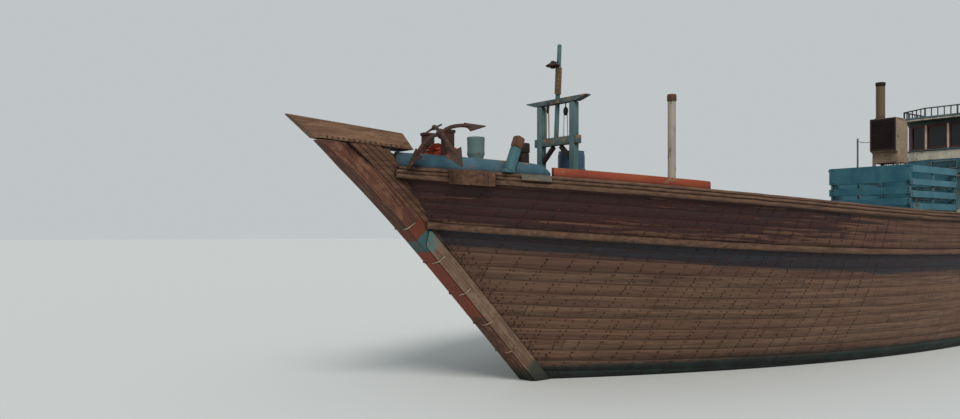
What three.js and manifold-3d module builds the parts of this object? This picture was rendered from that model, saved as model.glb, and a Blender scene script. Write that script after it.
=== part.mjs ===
// A wooden cargo dhow afloat: raked stem, decked hull, two rub rails a side, deckhouse and wheelhouse aft.
// Millimetres. +X is forward, +Y is port, +Z is up; the origin is amidships on the waterline.

import * as THREE from 'three';
import { mergeVertices } from 'three/addons/utils/BufferGeometryUtils.js';
import Module from 'manifold-3d';

const wasm = await Module();
wasm.setup();

// Driving dimensions
const STEM_FOOT_X = 10800;
const STEM_TIP = { x: 16000, z: 4920 };
const STEM_RAKE = 0.96;
const STEM_SWEEP = 1.65e-4;
const STEM_SIDED = 420;
const STEM_DEPTH = 500;
const STERN_HEEL_X = -14300;
const STERN_RAKE = 0.28;
const KEEL_TOP = -1600;
const KEEL_BOTTOM = -1950;
const KEEL_SIDED = 300;
const BEAM_HALF = 4000;
const SHEER_LOW_X = -3000;
const RAIL_LOW = 3400;
const MID_RAIL_LOW = 2570;
const BULWARK = 140;
const MAIN_DECK = 2900;
const FORE_DECK = 3550;
const POOP_DECK = 3600;
const FORE_BREAK_X = 8500;
const FORE_DECK_END = 13200;
const POOP_BREAK_X = -13700;
const POOP_DECK_END = -15750;
const PLANK = 60;
const GAP = 0.4;
const REST = 3;

const m = 1000;
const X_AXIS = new THREE.Vector3(1, 0, 0);
const Y_AXIS = new THREE.Vector3(0, 1, 0);

// Paint and timber
const paint = (colour, roughness = 0.8, metalness = 0) =>
  new THREE.MeshStandardMaterial({ color: colour, roughness, metalness });
const MATERIALS = {
  hullTimber: paint(0x5a3a26, 0.9),
  paleTimber: paint(0x9c7a58, 0.9),
  stemTimber: paint(0x7a4a30, 0.9),
  deckTimber: paint(0x8a7258, 0.9),
  paleBlue: paint(0x7fa6b4, 0.8),
  teal: paint(0x2f7f8c, 0.75),
  maroon: paint(0x4a1f1c, 0.8),
  cream: paint(0xc9bb9d, 0.8),
  darkRoof: paint(0x2c3c40, 0.85),
  rust: paint(0x6a3d28, 0.85, 0.4),
  steel: paint(0x4c4a48, 0.6, 0.8),
  bronze: paint(0x8f6f3a, 0.45, 0.9),
};

// Solids: three.js geometry in, three.js geometry out
function toSolid(geometry) {
  const plain = geometry.clone();
  plain.deleteAttribute('normal');
  if (plain.getAttribute('uv')) plain.deleteAttribute('uv');
  const merged = mergeVertices(plain, 1e-3);
  const vertProperties = new Float32Array(merged.getAttribute('position').array);
  const triVerts = new Uint32Array(merged.index.array);
  return new wasm.Manifold(new wasm.Mesh({ numProp: 3, vertProperties, triVerts }));
}

function toGeometry(solid) {
  const mesh = solid.getMesh();
  const geometry = new THREE.BufferGeometry();
  geometry.setAttribute('position', new THREE.BufferAttribute(new Float32Array(mesh.vertProperties), 3));
  geometry.setIndex(new THREE.BufferAttribute(new Uint32Array(mesh.triVerts), 1));
  return geometry;
}

function join(...geometries) {
  const solids = geometries.map(toSolid);
  return toGeometry(solids.reduce((whole, piece) => whole.add(piece)));
}

function cut(geometry, ...tools) {
  let solid = toSolid(geometry);
  for (const tool of tools) solid = solid.subtract(toSolid(tool));
  return toGeometry(solid);
}

function block(x0, x1, y0, y1, z0, z1) {
  const geometry = new THREE.BoxGeometry(x1 - x0, y1 - y0, z1 - z0);
  return geometry.translate((x0 + x1) / 2, (y0 + y1) / 2, (z0 + z1) / 2);
}

// A side profile of [x, z] points, extruded across the boat from y0 to y1
function profile(points, y0, y1) {
  const shape = new THREE.Shape(points.map(([x, z]) => new THREE.Vector2(x, z)));
  const geometry = new THREE.ExtrudeGeometry(shape, { depth: y1 - y0, bevelEnabled: false });
  return geometry.rotateX(Math.PI / 2).translate(0, y1, 0);
}

// A plan shape extruded upward from z0 to z1
function slab(shape, z0, z1, curveSegments = 6) {
  const options = { depth: z1 - z0, bevelEnabled: false, curveSegments };
  return new THREE.ExtrudeGeometry(shape, options).translate(0, 0, z0);
}

// A turned piece of [radius, height] points about an upright axis at x, y
function turned(points, x, y, z, sides) {
  const outline = points.map(([r, height]) => new THREE.Vector2(r, height));
  return outward(new THREE.LatheGeometry(outline, sides).rotateX(Math.PI / 2)).translate(x, y, z);
}

function post(x, y, z0, z1, radius, sides = 12) {
  const geometry = new THREE.CylinderGeometry(radius, radius, z1 - z0, sides);
  return geometry.rotateX(Math.PI / 2).translate(x, y, (z0 + z1) / 2);
}

// Turns a shape's own axis to the line between two points, and centres it there
function layBetween(from, to, axis, shapeOfLength) {
  const start = new THREE.Vector3(...from);
  const along = new THREE.Vector3(...to).sub(start);
  const geometry = shapeOfLength(along.length());
  geometry.applyQuaternion(new THREE.Quaternion().setFromUnitVectors(axis, along.clone().normalize()));
  const middle = start.addScaledVector(along, 0.5);
  return geometry.translate(middle.x, middle.y, middle.z);
}

// A square bar between two points, its ends cut square
function bar(from, to, width, height = width) {
  return layBetween(from, to, X_AXIS, (length) => new THREE.BoxGeometry(length, width, height));
}

function axle(from, to, radius, sides = 16) {
  return layBetween(from, to, Y_AXIS, (length) => new THREE.CylinderGeometry(radius, radius, length, sides));
}

// A skin over closed rings of equal count, with flat end caps
function loft(rings) {
  const count = rings[0].length;
  const positions = rings.flat(2);
  const index = [];
  for (let i = 0; i + 1 < rings.length; i += 1) {
    for (let k = 0; k < count; k += 1) {
      const a = i * count + k;
      const b = i * count + ((k + 1) % count);
      index.push(a, b, a + count, b, b + count, a + count);
    }
  }
  const last = (rings.length - 1) * count;
  const strips = count / 2;
  for (let k = 0; k + 1 < strips; k += 1) {
    const mirror = count - 1 - k;
    index.push(k, mirror, k + 1, k + 1, mirror, mirror - 1);
    index.push(last + k, last + k + 1, last + mirror, last + k + 1, last + mirror - 1, last + mirror);
  }
  const geometry = new THREE.BufferGeometry();
  geometry.setAttribute('position', new THREE.BufferAttribute(new Float32Array(positions), 3));
  geometry.setIndex(index);
  return outward(geometry);
}

function outward(geometry) {
  const position = geometry.getAttribute('position');
  const index = geometry.index.array;
  const corners = [0, 1, 2].map(() => new THREE.Vector3());
  let volume = 0;
  for (let i = 0; i < index.length; i += 3) {
    corners.forEach((corner, j) => corner.fromBufferAttribute(position, index[i + j]));
    volume += corners[0].dot(corners[1].cross(corners[2]));
  }
  if (volume < 0) {
    for (let i = 0; i < index.length; i += 3) [index[i + 1], index[i + 2]] = [index[i + 2], index[i + 1]];
  }
  return geometry;
}

// Hull form
const rise = (x, forward, aft, reachForward, powerForward) =>
  x > SHEER_LOW_X
    ? forward * ((x - SHEER_LOW_X) / reachForward) ** powerForward
    : aft * ((SHEER_LOW_X - x) / 13000) ** 2;
const railHeight = (x) => RAIL_LOW + rise(x, 720, 900, 17300, 2.2);
const midRailHeight = (x) => MID_RAIL_LOW + rise(x, 600, 760, 16300, 2.6);
const stemX = (z) => STEM_FOOT_X + STEM_RAKE * z + STEM_SWEEP * Math.max(z / m, 0) ** 5 * m;
const plankEndX = (z) => stemX(z) - STEM_DEPTH - 520 * Math.max((z - 2400) / 1700, 0) ** 1.5;
const sternX = (z) => STERN_HEEL_X - STERN_RAKE * (z - KEEL_BOTTOM);

function halfBreadth(x, z) {
  const height = Math.max(z - KEEL_TOP, 0) / 5900;
  const middle = KEEL_SIDED / 2 + (BEAM_HALF - KEEL_SIDED / 2) * height ** 0.18;
  const bowEnd = 200;
  const transom = 160 + 2750 * Math.sqrt(Math.max((z - 400) / 3900, 0));
  const entry = Math.min(Math.max((plankEndX(z) - x) / 12500, 0), 1);
  const run = Math.min(Math.max((x - sternX(z)) / 11000, 0), 1);
  const forward = 1 - (1 - entry) ** (2.1 + 0.35 * (z / m));
  const aft = 1 - (1 - run) ** (1.8 + 0.27 * (z / m));
  const fore = Math.min(bowEnd, middle) + (middle - Math.min(bowEnd, middle)) * forward;
  return Math.min(transom, middle) + (fore - Math.min(transom, middle)) * aft;
}

const STATIONS = 34;
const LEVELS = [0, 0.012, 0.04, 0.09, 0.16, 0.25, 0.35, 0.46, 0.58, 0.7, 0.8, 0.9, 1];

// Grown a little, and with headroom above the rail, the same skin cuts what rests against the hull
function hullSkin(grow = 0, headroom = 0) {
  const rings = [];
  for (let i = 0; i <= STATIONS; i += 1) {
    const share = i / STATIONS;
    let topX = THREE.MathUtils.lerp(-16000, 14000, share);
    for (let pass = 0; pass < 4; pass += 1) {
      const z = railHeight(topX);
      topX = THREE.MathUtils.lerp(sternX(z), plankEndX(z), share);
    }
    const top = railHeight(topX);
    const side = LEVELS.map((level) => {
      const z = THREE.MathUtils.lerp(KEEL_TOP, top, level);
      const x = THREE.MathUtils.lerp(sternX(z) - grow, plankEndX(z) + grow, share);
      const y = halfBreadth(THREE.MathUtils.clamp(x, sternX(z), plankEndX(z)), z) + grow;
      return [x, y, z - (level === 0 ? grow : 0)];
    });
    const [x, y, z] = side.at(-1);
    if (headroom > 0) side.push([x, y, z + headroom]);
    rings.push([...side, ...side.map(([px, py, pz]) => [px, -py, pz]).reverse()]);
  }
  return loft(rings);
}

// The air above a deck and inside the bulwarks, straight up from the height where the sides end
const SIDES_END = 4200;
const WELL_TOP = 5600;

function well(x0, x1, deck, inset = BULWARK) {
  const rings = [];
  const steps = 16;
  for (let i = 0; i <= steps; i += 1) {
    const x = THREE.MathUtils.lerp(x0, x1, i / steps);
    const side = [deck, SIDES_END, WELL_TOP].map((z) =>
      [x, halfBreadth(x, Math.min(z, SIDES_END)) - inset, z]);
    rings.push([...side, ...side.map(([px, y, z]) => [px, -y, z]).reverse()]);
  }
  return loft(rings);
}

function hull() {
  return cut(
    hullSkin(),
    well(FORE_BREAK_X, FORE_DECK_END, FORE_DECK - PLANK),
    well(POOP_BREAK_X, FORE_BREAK_X + 1, MAIN_DECK - PLANK),
    well(POOP_DECK_END, POOP_BREAK_X + 1, POOP_DECK - PLANK),
  );
}

function deckPlanks(x0, x1, deck) {
  const raised = well(x0 + GAP, x1 - GAP, deck - PLANK + GAP, BULWARK + GAP);
  return cut(raised, block(x0 - m, x1 + m, -6 * m, 6 * m, deck, 9 * m));
}

const hullCutter = hullSkin(GAP, 400);
const bowTimbers = block(12 * m, 17 * m, -200 - GAP, 200 + GAP, 2 * m, 6 * m);

// Rails hug the hull: a belt below a sheer line, cut back by the hull itself
function belt(side, x0, x1, heightAt, depth, proud, steps = 26) {
  const rings = [];
  for (let i = 0; i <= steps; i += 1) {
    const x = THREE.MathUtils.lerp(x0, x1, i / steps);
    const top = heightAt(x);
    const y = halfBreadth(x, top - depth / 2);
    const ring = [[y - 60, top], [y + proud, top], [y + proud, top - depth], [y - 60, top - depth]];
    rings.push(ring.map(([across, z]) => [x, side * across, z]));
  }
  return cut(loft(rings), hullCutter, bowTimbers);
}

// A strip standing on the rail, set in from the hull's side
function railStrip(side, x0, x1, inner, outer, low, high, steps = 26) {
  const rings = [];
  for (let i = 0; i <= steps; i += 1) {
    const x = THREE.MathUtils.lerp(x0, x1, i / steps);
    const z = railHeight(x);
    const y = halfBreadth(x, z);
    const edge = typeof high === 'function' ? high(i / steps) : high;
    const ring = [[y + inner, z + low], [y + outer, z + low], [y + outer, z + edge], [y + inner, z + edge]];
    rings.push(ring.map(([across, height]) => [x, side * across, height]));
  }
  return loft(rings);
}

const RAIL_CAP = 60;

// A board on edge along the bow, higher towards the stem
function washStrake(side) {
  return railStrip(side, 11800, 13750, -150, -90, RAIL_CAP + REST, (share) => 200 + 60 * share, 10);
}

const SIDES = [['port', 1], ['starboard', -1]];

// Backbone
const STEM_LEVELS = [KEEL_BOTTOM, -1000, 0, 1000, 2000, 3000, 3600, 4100, 4560];
const HEAD = { start: 4100, top: 4560, share: 0.5 };
const CHEEK = { low: -1500, top: 3000, thick: 40, setBack: 70, lap: 20 };
const CAP = {
  rearTopX: 13880, rearTopZ: 4730, rearBottomX: 13640, rearBottomZ: 4450, lip: 50, tipHalf: 45,
};

// The stem is narrower towards its head
const stemHalf = (z) =>
  (STEM_SIDED / 2) * THREE.MathUtils.mapLinear(Math.max(z, HEAD.start), HEAD.start, HEAD.top, 1, HEAD.share);

// A timber up the stem, in rings of [x ahead of, y out from] the stem's face and side at each level
function alongStem(levels, ringAt) {
  return loft(levels.map((z) => ringAt(stemX(z), stemHalf(z)).map(([x, y]) => [x, y, z])));
}

function stem() {
  const timber = alongStem(STEM_LEVELS, (face, half) => [
    [face - STEM_DEPTH, half], [face, half], [face, -half], [face - STEM_DEPTH, -half],
  ]);
  return cut(timber, hullCutter, capCutter);
}

function stemCheek(side) {
  const { low, top, thick, setBack, lap } = CHEEK;
  const levels = [low, ...STEM_LEVELS.filter((z) => z > low && z < top), top];
  const board = alongStem(levels, (face, half) => {
    const [inner, outer] = [half + GAP, half + GAP + thick].map((y) => side * y);
    const [back, front] = [face - STEM_DEPTH + lap, face - setBack];
    return [[back, inner], [front, inner], [front, outer], [back, outer]];
  });
  return cut(board, hullCutter);
}

function stemKnee() {
  const levels = [2450, 2900, 3300, 3700, 4100, 4440];
  const front = levels.map((z) => [stemX(z) - STEM_DEPTH - 8, z]);
  const back = levels.map((z) => [plankEndX(z) - 40, z]).reverse();
  return cut(profile([...front, ...back], -200, 200), hullCutter, capCutter);
}

// A broad board over the stemhead, drawn in to a point ahead of the stem
function stemheadCap(halfWidth = STEM_SIDED / 2 + CAP.lip, tipHalf = CAP.tipHalf, drop = 0) {
  const ring = (topX, topZ, bottomX, bottomZ, topHalf, bottomHalf) => [
    [bottomX, bottomHalf, bottomZ - drop], [topX, topHalf, topZ],
    [topX, -topHalf, topZ], [bottomX, -bottomHalf, bottomZ - drop],
  ];
  const share = tipHalf / halfWidth;
  return loft([
    ring(CAP.rearTopX, CAP.rearTopZ, CAP.rearBottomX, CAP.rearBottomZ, halfWidth, halfWidth),
    ring(STEM_TIP.x, STEM_TIP.z, stemX(HEAD.top), HEAD.top, tipHalf, halfWidth * Math.sqrt(share)),
  ]);
}

const capCutter = stemheadCap(STEM_SIDED, STEM_SIDED, GAP);

function keel() {
  const outline = [
    [sternX(KEEL_BOTTOM), KEEL_BOTTOM],
    [stemX(KEEL_BOTTOM) - STEM_DEPTH - GAP, KEEL_BOTTOM],
    [stemX(KEEL_TOP) - STEM_DEPTH - GAP - 20, KEEL_TOP - GAP],
    [sternX(KEEL_TOP), KEEL_TOP - GAP],
  ];
  return profile(outline, -KEEL_SIDED / 2, KEEL_SIDED / 2);
}

const STERNPOST = { depth: 260, sided: 240, top: 3900 };

function sternpost() {
  const { depth, sided, top } = STERNPOST;
  const outline = [
    [sternX(KEEL_BOTTOM) - GAP, KEEL_BOTTOM],
    [sternX(top) - GAP, top],
    [sternX(top) - depth, top],
    [sternX(KEEL_BOTTOM) - depth, KEEL_BOTTOM],
  ];
  return profile(outline, -sided / 2, sided / 2);
}

// Screw, in an opening cut between the hull, the keel and the sternpost
const SCREW = { z: -860, radius: 620, hubRadius: 110, hubLength: 260, x: -14200, shaftRadius: 55 };
const APERTURE = { low: KEEL_TOP - 1, high: -120, length: 640 };

function aperture() {
  const { low, high, length } = APERTURE;
  const corners = [[sternX(low) + length, low], [sternX(high) + length, high]];
  const outline = [...corners, [sternX(high) - m, high], [sternX(low) - m, low]];
  return profile(outline, -2 * m, 2 * m);
}

function propeller() {
  const { x, z, hubRadius, hubLength, radius, shaftRadius } = SCREW;
  const pieces = [axle([x - hubLength / 2, 0, z], [x + hubLength / 2, 0, z], hubRadius, 16)];
  pieces.push(axle([x, 0, z], [sternX(z) + APERTURE.length - 24, 0, z], shaftRadius, 12));
  for (let i = 0; i < 4; i += 1) {
    const blade = new THREE.Shape();
    blade.moveTo(-70, 60);
    blade.quadraticCurveTo(-230, radius * 0.6, -60, radius);
    blade.quadraticCurveTo(130, radius * 0.95, 150, radius * 0.55);
    blade.lineTo(70, 60);
    blade.closePath();
    const plate = new THREE.ExtrudeGeometry(blade, { depth: 28, bevelEnabled: false, curveSegments: 5 });
    plate.translate(0, 0, -14).rotateY(Math.PI / 2 - 0.6).rotateX(Math.PI / 2 + (i * Math.PI) / 2);
    pieces.push(plate.translate(x, 0, z));
  }
  return join(...pieces);
}

// Rudder, hung on the raked sternpost; built upright at its axis and then leaned with the post
const RUDDER = { nose: 90, thick: 130, gap: 15, low: -1800, top: 2900 };
const rudderAxisX = (z) => sternX(z) - STERNPOST.depth - RUDDER.gap - RUDDER.nose;

function rudder() {
  const { nose, thick, low, top } = RUDDER;
  const lean = Math.atan(STERN_RAKE);
  const base = new THREE.Vector3(rudderAxisX(low), 0, low);
  const length = (top - low) / Math.cos(lean);
  const outline = [
    [0, 60], [-1050, 100], [-1220, 900], [-1150, 1750], [-760, 2500], [-420, 3300],
    [-300, length], [0, length],
  ];
  const blade = profile(outline, -thick / 2, thick / 2);
  const stock = post(0, 0, 0, length, nose, 16);
  return join(blade, stock).rotateY(-lean).translate(base.x, 0, base.z);
}

// Foredeck gear
const WINDLASS = {
  x: 12950, z: 4420, radius: 150, half: 250, clear: 10, spindle: 60, head: { radius: 100, long: 130 },
  gear: { radius: 220, half: 60 }, post: { wide: 120, deep: 220, high: 420, bore: 66 },
  chock: { aft: 320, wide: 100, high: 300, low: 220 },
};

function windlassBitts() {
  const { x, z, half, clear, post: upright, chock } = WINDLASS;
  const outer = half + upright.wide;
  const pieces = [block(x - chock.aft, x - chock.aft + chock.wide, -outer, outer,
    FORE_DECK + GAP, FORE_DECK + chock.high)];
  for (const side of [1, -1]) {
    const y = side * (half + clear + upright.wide / 2);
    const knee = side * (outer - chock.wide / 2);
    pieces.push(block(x - upright.deep / 2, x + upright.deep / 2, y - upright.wide / 2, y + upright.wide / 2,
      FORE_DECK + GAP, z + upright.high));
    pieces.push(block(x - chock.aft, x, knee - chock.wide / 2, knee + chock.wide / 2,
      FORE_DECK + GAP, FORE_DECK + chock.low));
  }
  return cut(join(...pieces), axle([x, -2 * half, z], [x, 2 * half, z], upright.bore, 16));
}

function windlassBarrel() {
  const { x, z, radius, half, clear, spindle, head, gear, post: upright } = WINDLASS;
  const inner = half + 2 * clear + upright.wide;
  const along = (from, to, size, sides) => axle([x, from, z], [x, to, z], size, sides);
  const heads = [1, -1].map((side) => along(side * inner, side * (inner + head.long), head.radius, 12));
  return join(
    along(-half, half, radius, 8),
    along(-inner - head.long, inner + head.long, spindle, 12),
    along(-gear.half, gear.half, gear.radius, 16),
    ...heads,
  );
}

// Mooring posts: a leaning one on each rail and an upright one inboard of it on the foredeck
const RAIL_BITT = { x: 12470, lean: 250, radius: 78, high: 640, outboard: 60, pad: { half: 110, high: 60 } };
const DECK_BITT = { x: 11900, y: 1180, radius: 110, top: 4610 };

function railBitt(side) {
  const { x, lean, radius, high, outboard, pad } = RAIL_BITT;
  const y = side * (halfBreadth(x, railHeight(x)) + outboard);
  const seat = (at) => railHeight(at) + RAIL_CAP + REST;
  const end = (at) => [at, y, seat(at) + pad.high / 2 + 2];
  const foot = bar(end(x - pad.half), end(x + pad.half), 100, pad.high);
  return join(axle([x, y, seat(x) + 25], [x - lean, y, seat(x) + high], radius, 8), foot);
}

function deckBitt(side) {
  const { x, y, radius, top } = DECK_BITT;
  return post(x, side * y, FORE_DECK + GAP, top, radius, 12);
}

const BOLLARD = { x: 12050, radius: 150, neck: 900, flare: 60, headRadius: 172, top: 1260 };

function bowBollard() {
  const { x, radius, neck, flare, headRadius, top } = BOLLARD;
  const head = [[headRadius, neck + flare], [headRadius, top], [0, top]];
  const outline = [[0, 0], [radius, 0], [radius, neck], ...head];
  return turned(outline, x, 0, FORE_DECK + GAP, 16);
}

// A four-armed grapnel: x runs down the shank from the crown, and the arms stand out along y and z
const ANCHOR = {
  shank: 1400, bar: 40, hub: { radius: 75, from: -60, to: 90 }, ring: { radius: 80, bar: 18 },
  arm: [[10, 40], [-5, 200], [45, 390], [168, 530]],
  fluke: { splay: 1.09, long: 300, lap: 60, half: 150, thick: 30 },
  crown: [13500, 870, 4700], along: [-0.63, -0.298, -0.717], up: [-0.756, 0.448, 0.476],
};

function anchorArm() {
  const { bar: size, arm, fluke } = ANCHOR;
  const corners = [[-size, -size], [size, -size], [size, size], [-size, size]];
  const section = new THREE.Shape(corners.map(([a, b]) => new THREE.Vector2(a * 0.9, b * 0.9)));
  const path = new THREE.CatmullRomCurve3(arm.map(([x, y]) => new THREE.Vector3(x, y, 0)));
  const bent = new THREE.ExtrudeGeometry(section, { steps: 10, bevelEnabled: false, extrudePath: path });
  const outline = [[-fluke.lap, -fluke.half], [fluke.long, 0], [-fluke.lap, fluke.half]];
  const palm = new THREE.Shape(outline.map(([a, b]) => new THREE.Vector2(a, b)));
  const plate = new THREE.ExtrudeGeometry(palm, { depth: fluke.thick, bevelEnabled: false });
  plate.translate(0, 0, -fluke.thick / 2).rotateX(Math.PI / 2).rotateZ(fluke.splay);
  const [x, y] = arm.at(-1);
  return join(bent, plate.translate(x, y, 0));
}

function anchor() {
  const { shank, bar: size, hub, ring } = ANCHOR;
  const arms = [0, 1, 2, 3].map((quarter) => anchorArm().rotateX((quarter * Math.PI) / 2));
  const eye = new THREE.TorusGeometry(ring.radius, ring.bar, 8, 16).translate(shank + ring.radius, 0, 0);
  return join(
    axle([0, 0, 0], [shank, 0, 0], size, 10),
    axle([hub.from, 0, 0], [hub.to, 0, 0], hub.radius, 12),
    eye, ...arms,
  );
}

// Its shank lies over the port wash strake, inboard and down to the foredeck
function placeAnchor(mesh) {
  const along = new THREE.Vector3(...ANCHOR.along).normalize();
  const across = along.clone().cross(new THREE.Vector3(...ANCHOR.up)).normalize();
  const arms = across.clone().cross(along);
  mesh.quaternion.setFromRotationMatrix(new THREE.Matrix4().makeBasis(along, arms, across));
  mesh.position.set(...ANCHOR.crown);
}

const GALLOWS = {
  x: 9900, half: 490, post: 145, foot: 150,
  beam: { z: 5740, half: 900, wide: 180, low: 90, high: 30 }, cross: { z: 4880, wide: 140, high: 170 },
  mast: { top: 6890, radius: 48 }, wrap: { from: 120, to: 700, radius: 70 },
};

function gallows() {
  const { x, half, post: size, foot, beam, cross, mast, wrap } = GALLOWS;
  const legs = [1, -1].map((side) => block(x - size / 2, x + size / 2,
    side * half - size / 2, side * half + size / 2, FORE_DECK + GAP, beam.z));
  return join(
    ...legs,
    block(x - beam.wide / 2, x + beam.wide / 2, -beam.half, beam.half,
      beam.z - beam.low, beam.z + beam.high),
    block(x - cross.wide / 2, x + cross.wide / 2, -half - foot, half + foot,
      cross.z - cross.high / 2, cross.z + cross.high / 2),
    post(x, 0, cross.z, mast.top, mast.radius, 12),
    post(x, 0, beam.z + wrap.from, beam.z + wrap.to, wrap.radius, 12),
  );
}

const DRUM = { x: 9300, y: -200, radius: 290, high: 1170, hoops: [390, 780], hoop: 12 };

function waterDrum() {
  const { x, y, radius, high, hoops, hoop } = DRUM;
  const ribs = hoops.flatMap((z) => [[radius, z - hoop], [radius + hoop, z], [radius, z + hoop]]);
  return turned([[0, 0], [radius, 0], ...ribs, [radius, high], [0, high]], x, y, FORE_DECK + GAP, 20);
}

// Waist: cargo hatch, king post, slatted pen, engine casing and exhaust
const HATCH = {
  x0: 1200, x1: 5400, half: 1500, board: 90, high: 560, lip: 40, cover: 70,
  batten: { places: [0.12, 0.37, 0.63, 0.88], wide: 120, high: 50 },
};

function hatchCoaming() {
  const { x0, x1, half, board, high } = HATCH;
  const top = MAIN_DECK + high;
  const outer = block(x0, x1, -half, half, MAIN_DECK + GAP, top);
  return cut(outer, block(x0 + board, x1 - board, board - half, half - board, MAIN_DECK - 100, top + 100));
}

function hatchCovers() {
  const { x0, x1, half, high, lip, cover, batten } = HATCH;
  const z = MAIN_DECK + high + GAP;
  const layer = (from, to, low, top) => block(from, to, -half - lip, half + lip, z + low, z + top);
  const battens = batten.places.map((share) => {
    const x = THREE.MathUtils.lerp(x0, x1, share);
    return layer(x - batten.wide / 2, x + batten.wide / 2, cover - 10, cover + batten.high);
  });
  return join(layer(x0 - lip, x1 + lip, 0, cover), ...battens);
}

const KING_POST = {
  x: 6200, top: 5950, radius: 95, headTop: 6260, headRadius: 110, footRadius: 190, foot: 120,
};

function kingPost() {
  const { x, top, radius, headTop, headRadius, footRadius, foot } = KING_POST;
  return join(
    post(x, 0, MAIN_DECK + GAP, top, radius, 12),
    post(x, 0, top - 10, headTop, headRadius, 12),
    post(x, 0, MAIN_DECK + GAP, MAIN_DECK + foot, footRadius, 12),
  );
}

const PEN = {
  x0: -2400, x1: 300, y0: 700, y1: 2800, top: 4720, post: 90, board: 45, lap: 20,
};

// Boards of the fences from the top down, [bottom, top]; those of the ends are set lower than the sides'
const PEN_END_BOARDS = [[4270, 4720], [3980, 4160], [3690, 3870], [3400, 3580]];
const PEN_SIDE_BOARDS = [[4540, 4720], [4200, 4360], [3890, 4060], [3580, 3750]];

function slattedPen() {
  const { x0, x1, y0, y1, top, post: size, board, lap } = PEN;
  const pieces = [];
  for (const x of [x0, x1 - size]) {
    for (const y of [y0, y1 - size]) pieces.push(block(x, x + size, y, y + size, MAIN_DECK + GAP, top));
  }
  for (const [low, high] of PEN_END_BOARDS) {
    pieces.push(block(x1 - lap, x1 - lap + board, y0 - 3 * lap, y1 + lap / 2, low, high));
    pieces.push(block(x0, x0 + board, y0, y1, low, high));
  }
  for (const [low, high] of PEN_SIDE_BOARDS) {
    pieces.push(block(x0, x1, y1 - lap, y1 - lap + board, low, high));
    pieces.push(block(x0, x1, y0, y0 + board, low, high));
  }
  return join(...pieces);
}

const CASING = { x0: -6100, x1: -2900, half: 1100, top: 4950, lid: 60 };

function engineCasing() {
  const { x0, x1, half, top, lid } = CASING;
  const walls = block(x0, x1, -half, half, MAIN_DECK + GAP, top - lid);
  return join(walls, block(x0 - lid, x1 + lid, -half - lid, half + lid, top - lid - 1, top));
}

// The housing's front steps back below, and the top of its back is rounded off
const HOUSING = {
  x0: -4770, x1: -3990, half: 405, low: 5170, top: 6560, foot: 80,
  step: { depth: 140, low: 5480, high: 5540 }, round: { along: 280, down: 360 },
};
const STACK = {
  x: -4300, y: -225, radius: 135, bore: 115, top: 7730, rim: 12, rimDeep: 90, flange: 40, plate: 40,
};

function exhaustHousing() {
  const { x0, x1, half, low, top, foot, step, round } = HOUSING;
  const heel = x1 - step.depth;
  const back = [0, 0.25, 0.5, 0.75, 1].map((share) => {
    const angle = (share * Math.PI) / 2;
    return [x0 + round.along * (1 - Math.sin(angle)), top - round.down * (1 - Math.cos(angle))];
  });
  const front = [[heel, low], [heel, step.low], [x1, step.high], [x1, top]];
  const feet = [x0, heel - foot].flatMap((x) =>
    [-half, half - foot].map((y) => block(x, x + foot, y, y + foot, CASING.top + GAP, low + 10)));
  return join(profile([[x0, low], ...front, ...back], -half, half), ...feet);
}

function exhaustStack() {
  const { x, y, radius, bore, top, rim, rimDeep, flange, plate } = STACK;
  const base = HOUSING.top + GAP;
  const outline = [
    [0, base + flange], [bore, base + flange], [bore, top], [radius + rim, top],
    [radius + rim, top - rimDeep], [radius, top - rimDeep], [radius, base + plate],
    [radius + flange, base + plate], [radius + flange, base], [0, base],
  ];
  return turned(outline, x, y, 0, 20);
}

// Houses: a plan outline with a bowed front, hollow, with its windows and doorways cut
const HOUSE = { x0: -13500, x1: -9500, half: 2400, low: MAIN_DECK, high: 5100, wall: 80, bow: 500 };
const WHEELHOUSE = { x0: -12900, x1: -9500, half: 1950, low: 5200, high: 7050, wall: 70, bow: 500 };

function housePlan({ x0, x1, half, bow }, inset = 0) {
  const shape = new THREE.Shape();
  const front = x1 - bow;
  shape.moveTo(x0 + inset, -half + inset);
  shape.lineTo(front, -half + inset);
  shape.quadraticCurveTo(x1 - inset, -half + inset + 60, x1 - inset, -half / 2);
  shape.lineTo(x1 - inset, half / 2);
  shape.quadraticCurveTo(x1 - inset, half - inset - 60, front, half - inset);
  shape.lineTo(x0 + inset, half - inset);
  shape.closePath();
  return shape;
}

function houseWalls(house, openings) {
  const { low, high, wall } = house;
  const shell = slab(housePlan(house), low + GAP, high - GAP);
  const room = slab(housePlan(house, wall), low - m, high + m);
  return cut(shell, room, ...openings);
}

// Openings in a house, a row each: side or front, its span along the wall and its span in height
const HOUSE_WINDOWS = [
  { wall: 'side', from: -13100, to: -12500, low: 3900, high: 4500 },
  { wall: 'side', from: -12100, to: -11500, low: 3900, high: 4500 },
  { wall: 'front', from: -1350, to: -750, low: 3900, high: 4500 },
  { wall: 'front', from: 750, to: 1350, low: 3900, high: 4500 },
];
const WHEELHOUSE_WINDOWS = [
  { wall: 'front', from: -1700, to: -1160, low: 6030, high: 6870 },
  { wall: 'front', from: -1090, to: -400, low: 6030, high: 6870 },
  { wall: 'front', from: -330, to: 330, low: 6030, high: 6870 },
  { wall: 'front', from: 400, to: 1090, low: 6030, high: 6870 },
  { wall: 'front', from: 1160, to: 1700, low: 6030, high: 6870 },
  { wall: 'side', from: -11500, to: -10880, low: 6030, high: 6870 },
  { wall: 'side', from: -10800, to: -10180, low: 6030, high: 6870 },
  { wall: 'aft', from: -700, to: 700, low: 6100, high: 6800 },
];
const HOUSE_DOOR = { from: -11000, to: -10300, low: MAIN_DECK + 60, high: 4800 };
const WHEELHOUSE_DOOR = { from: -12600, to: -11950, low: 5260, high: 6900 };

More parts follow.
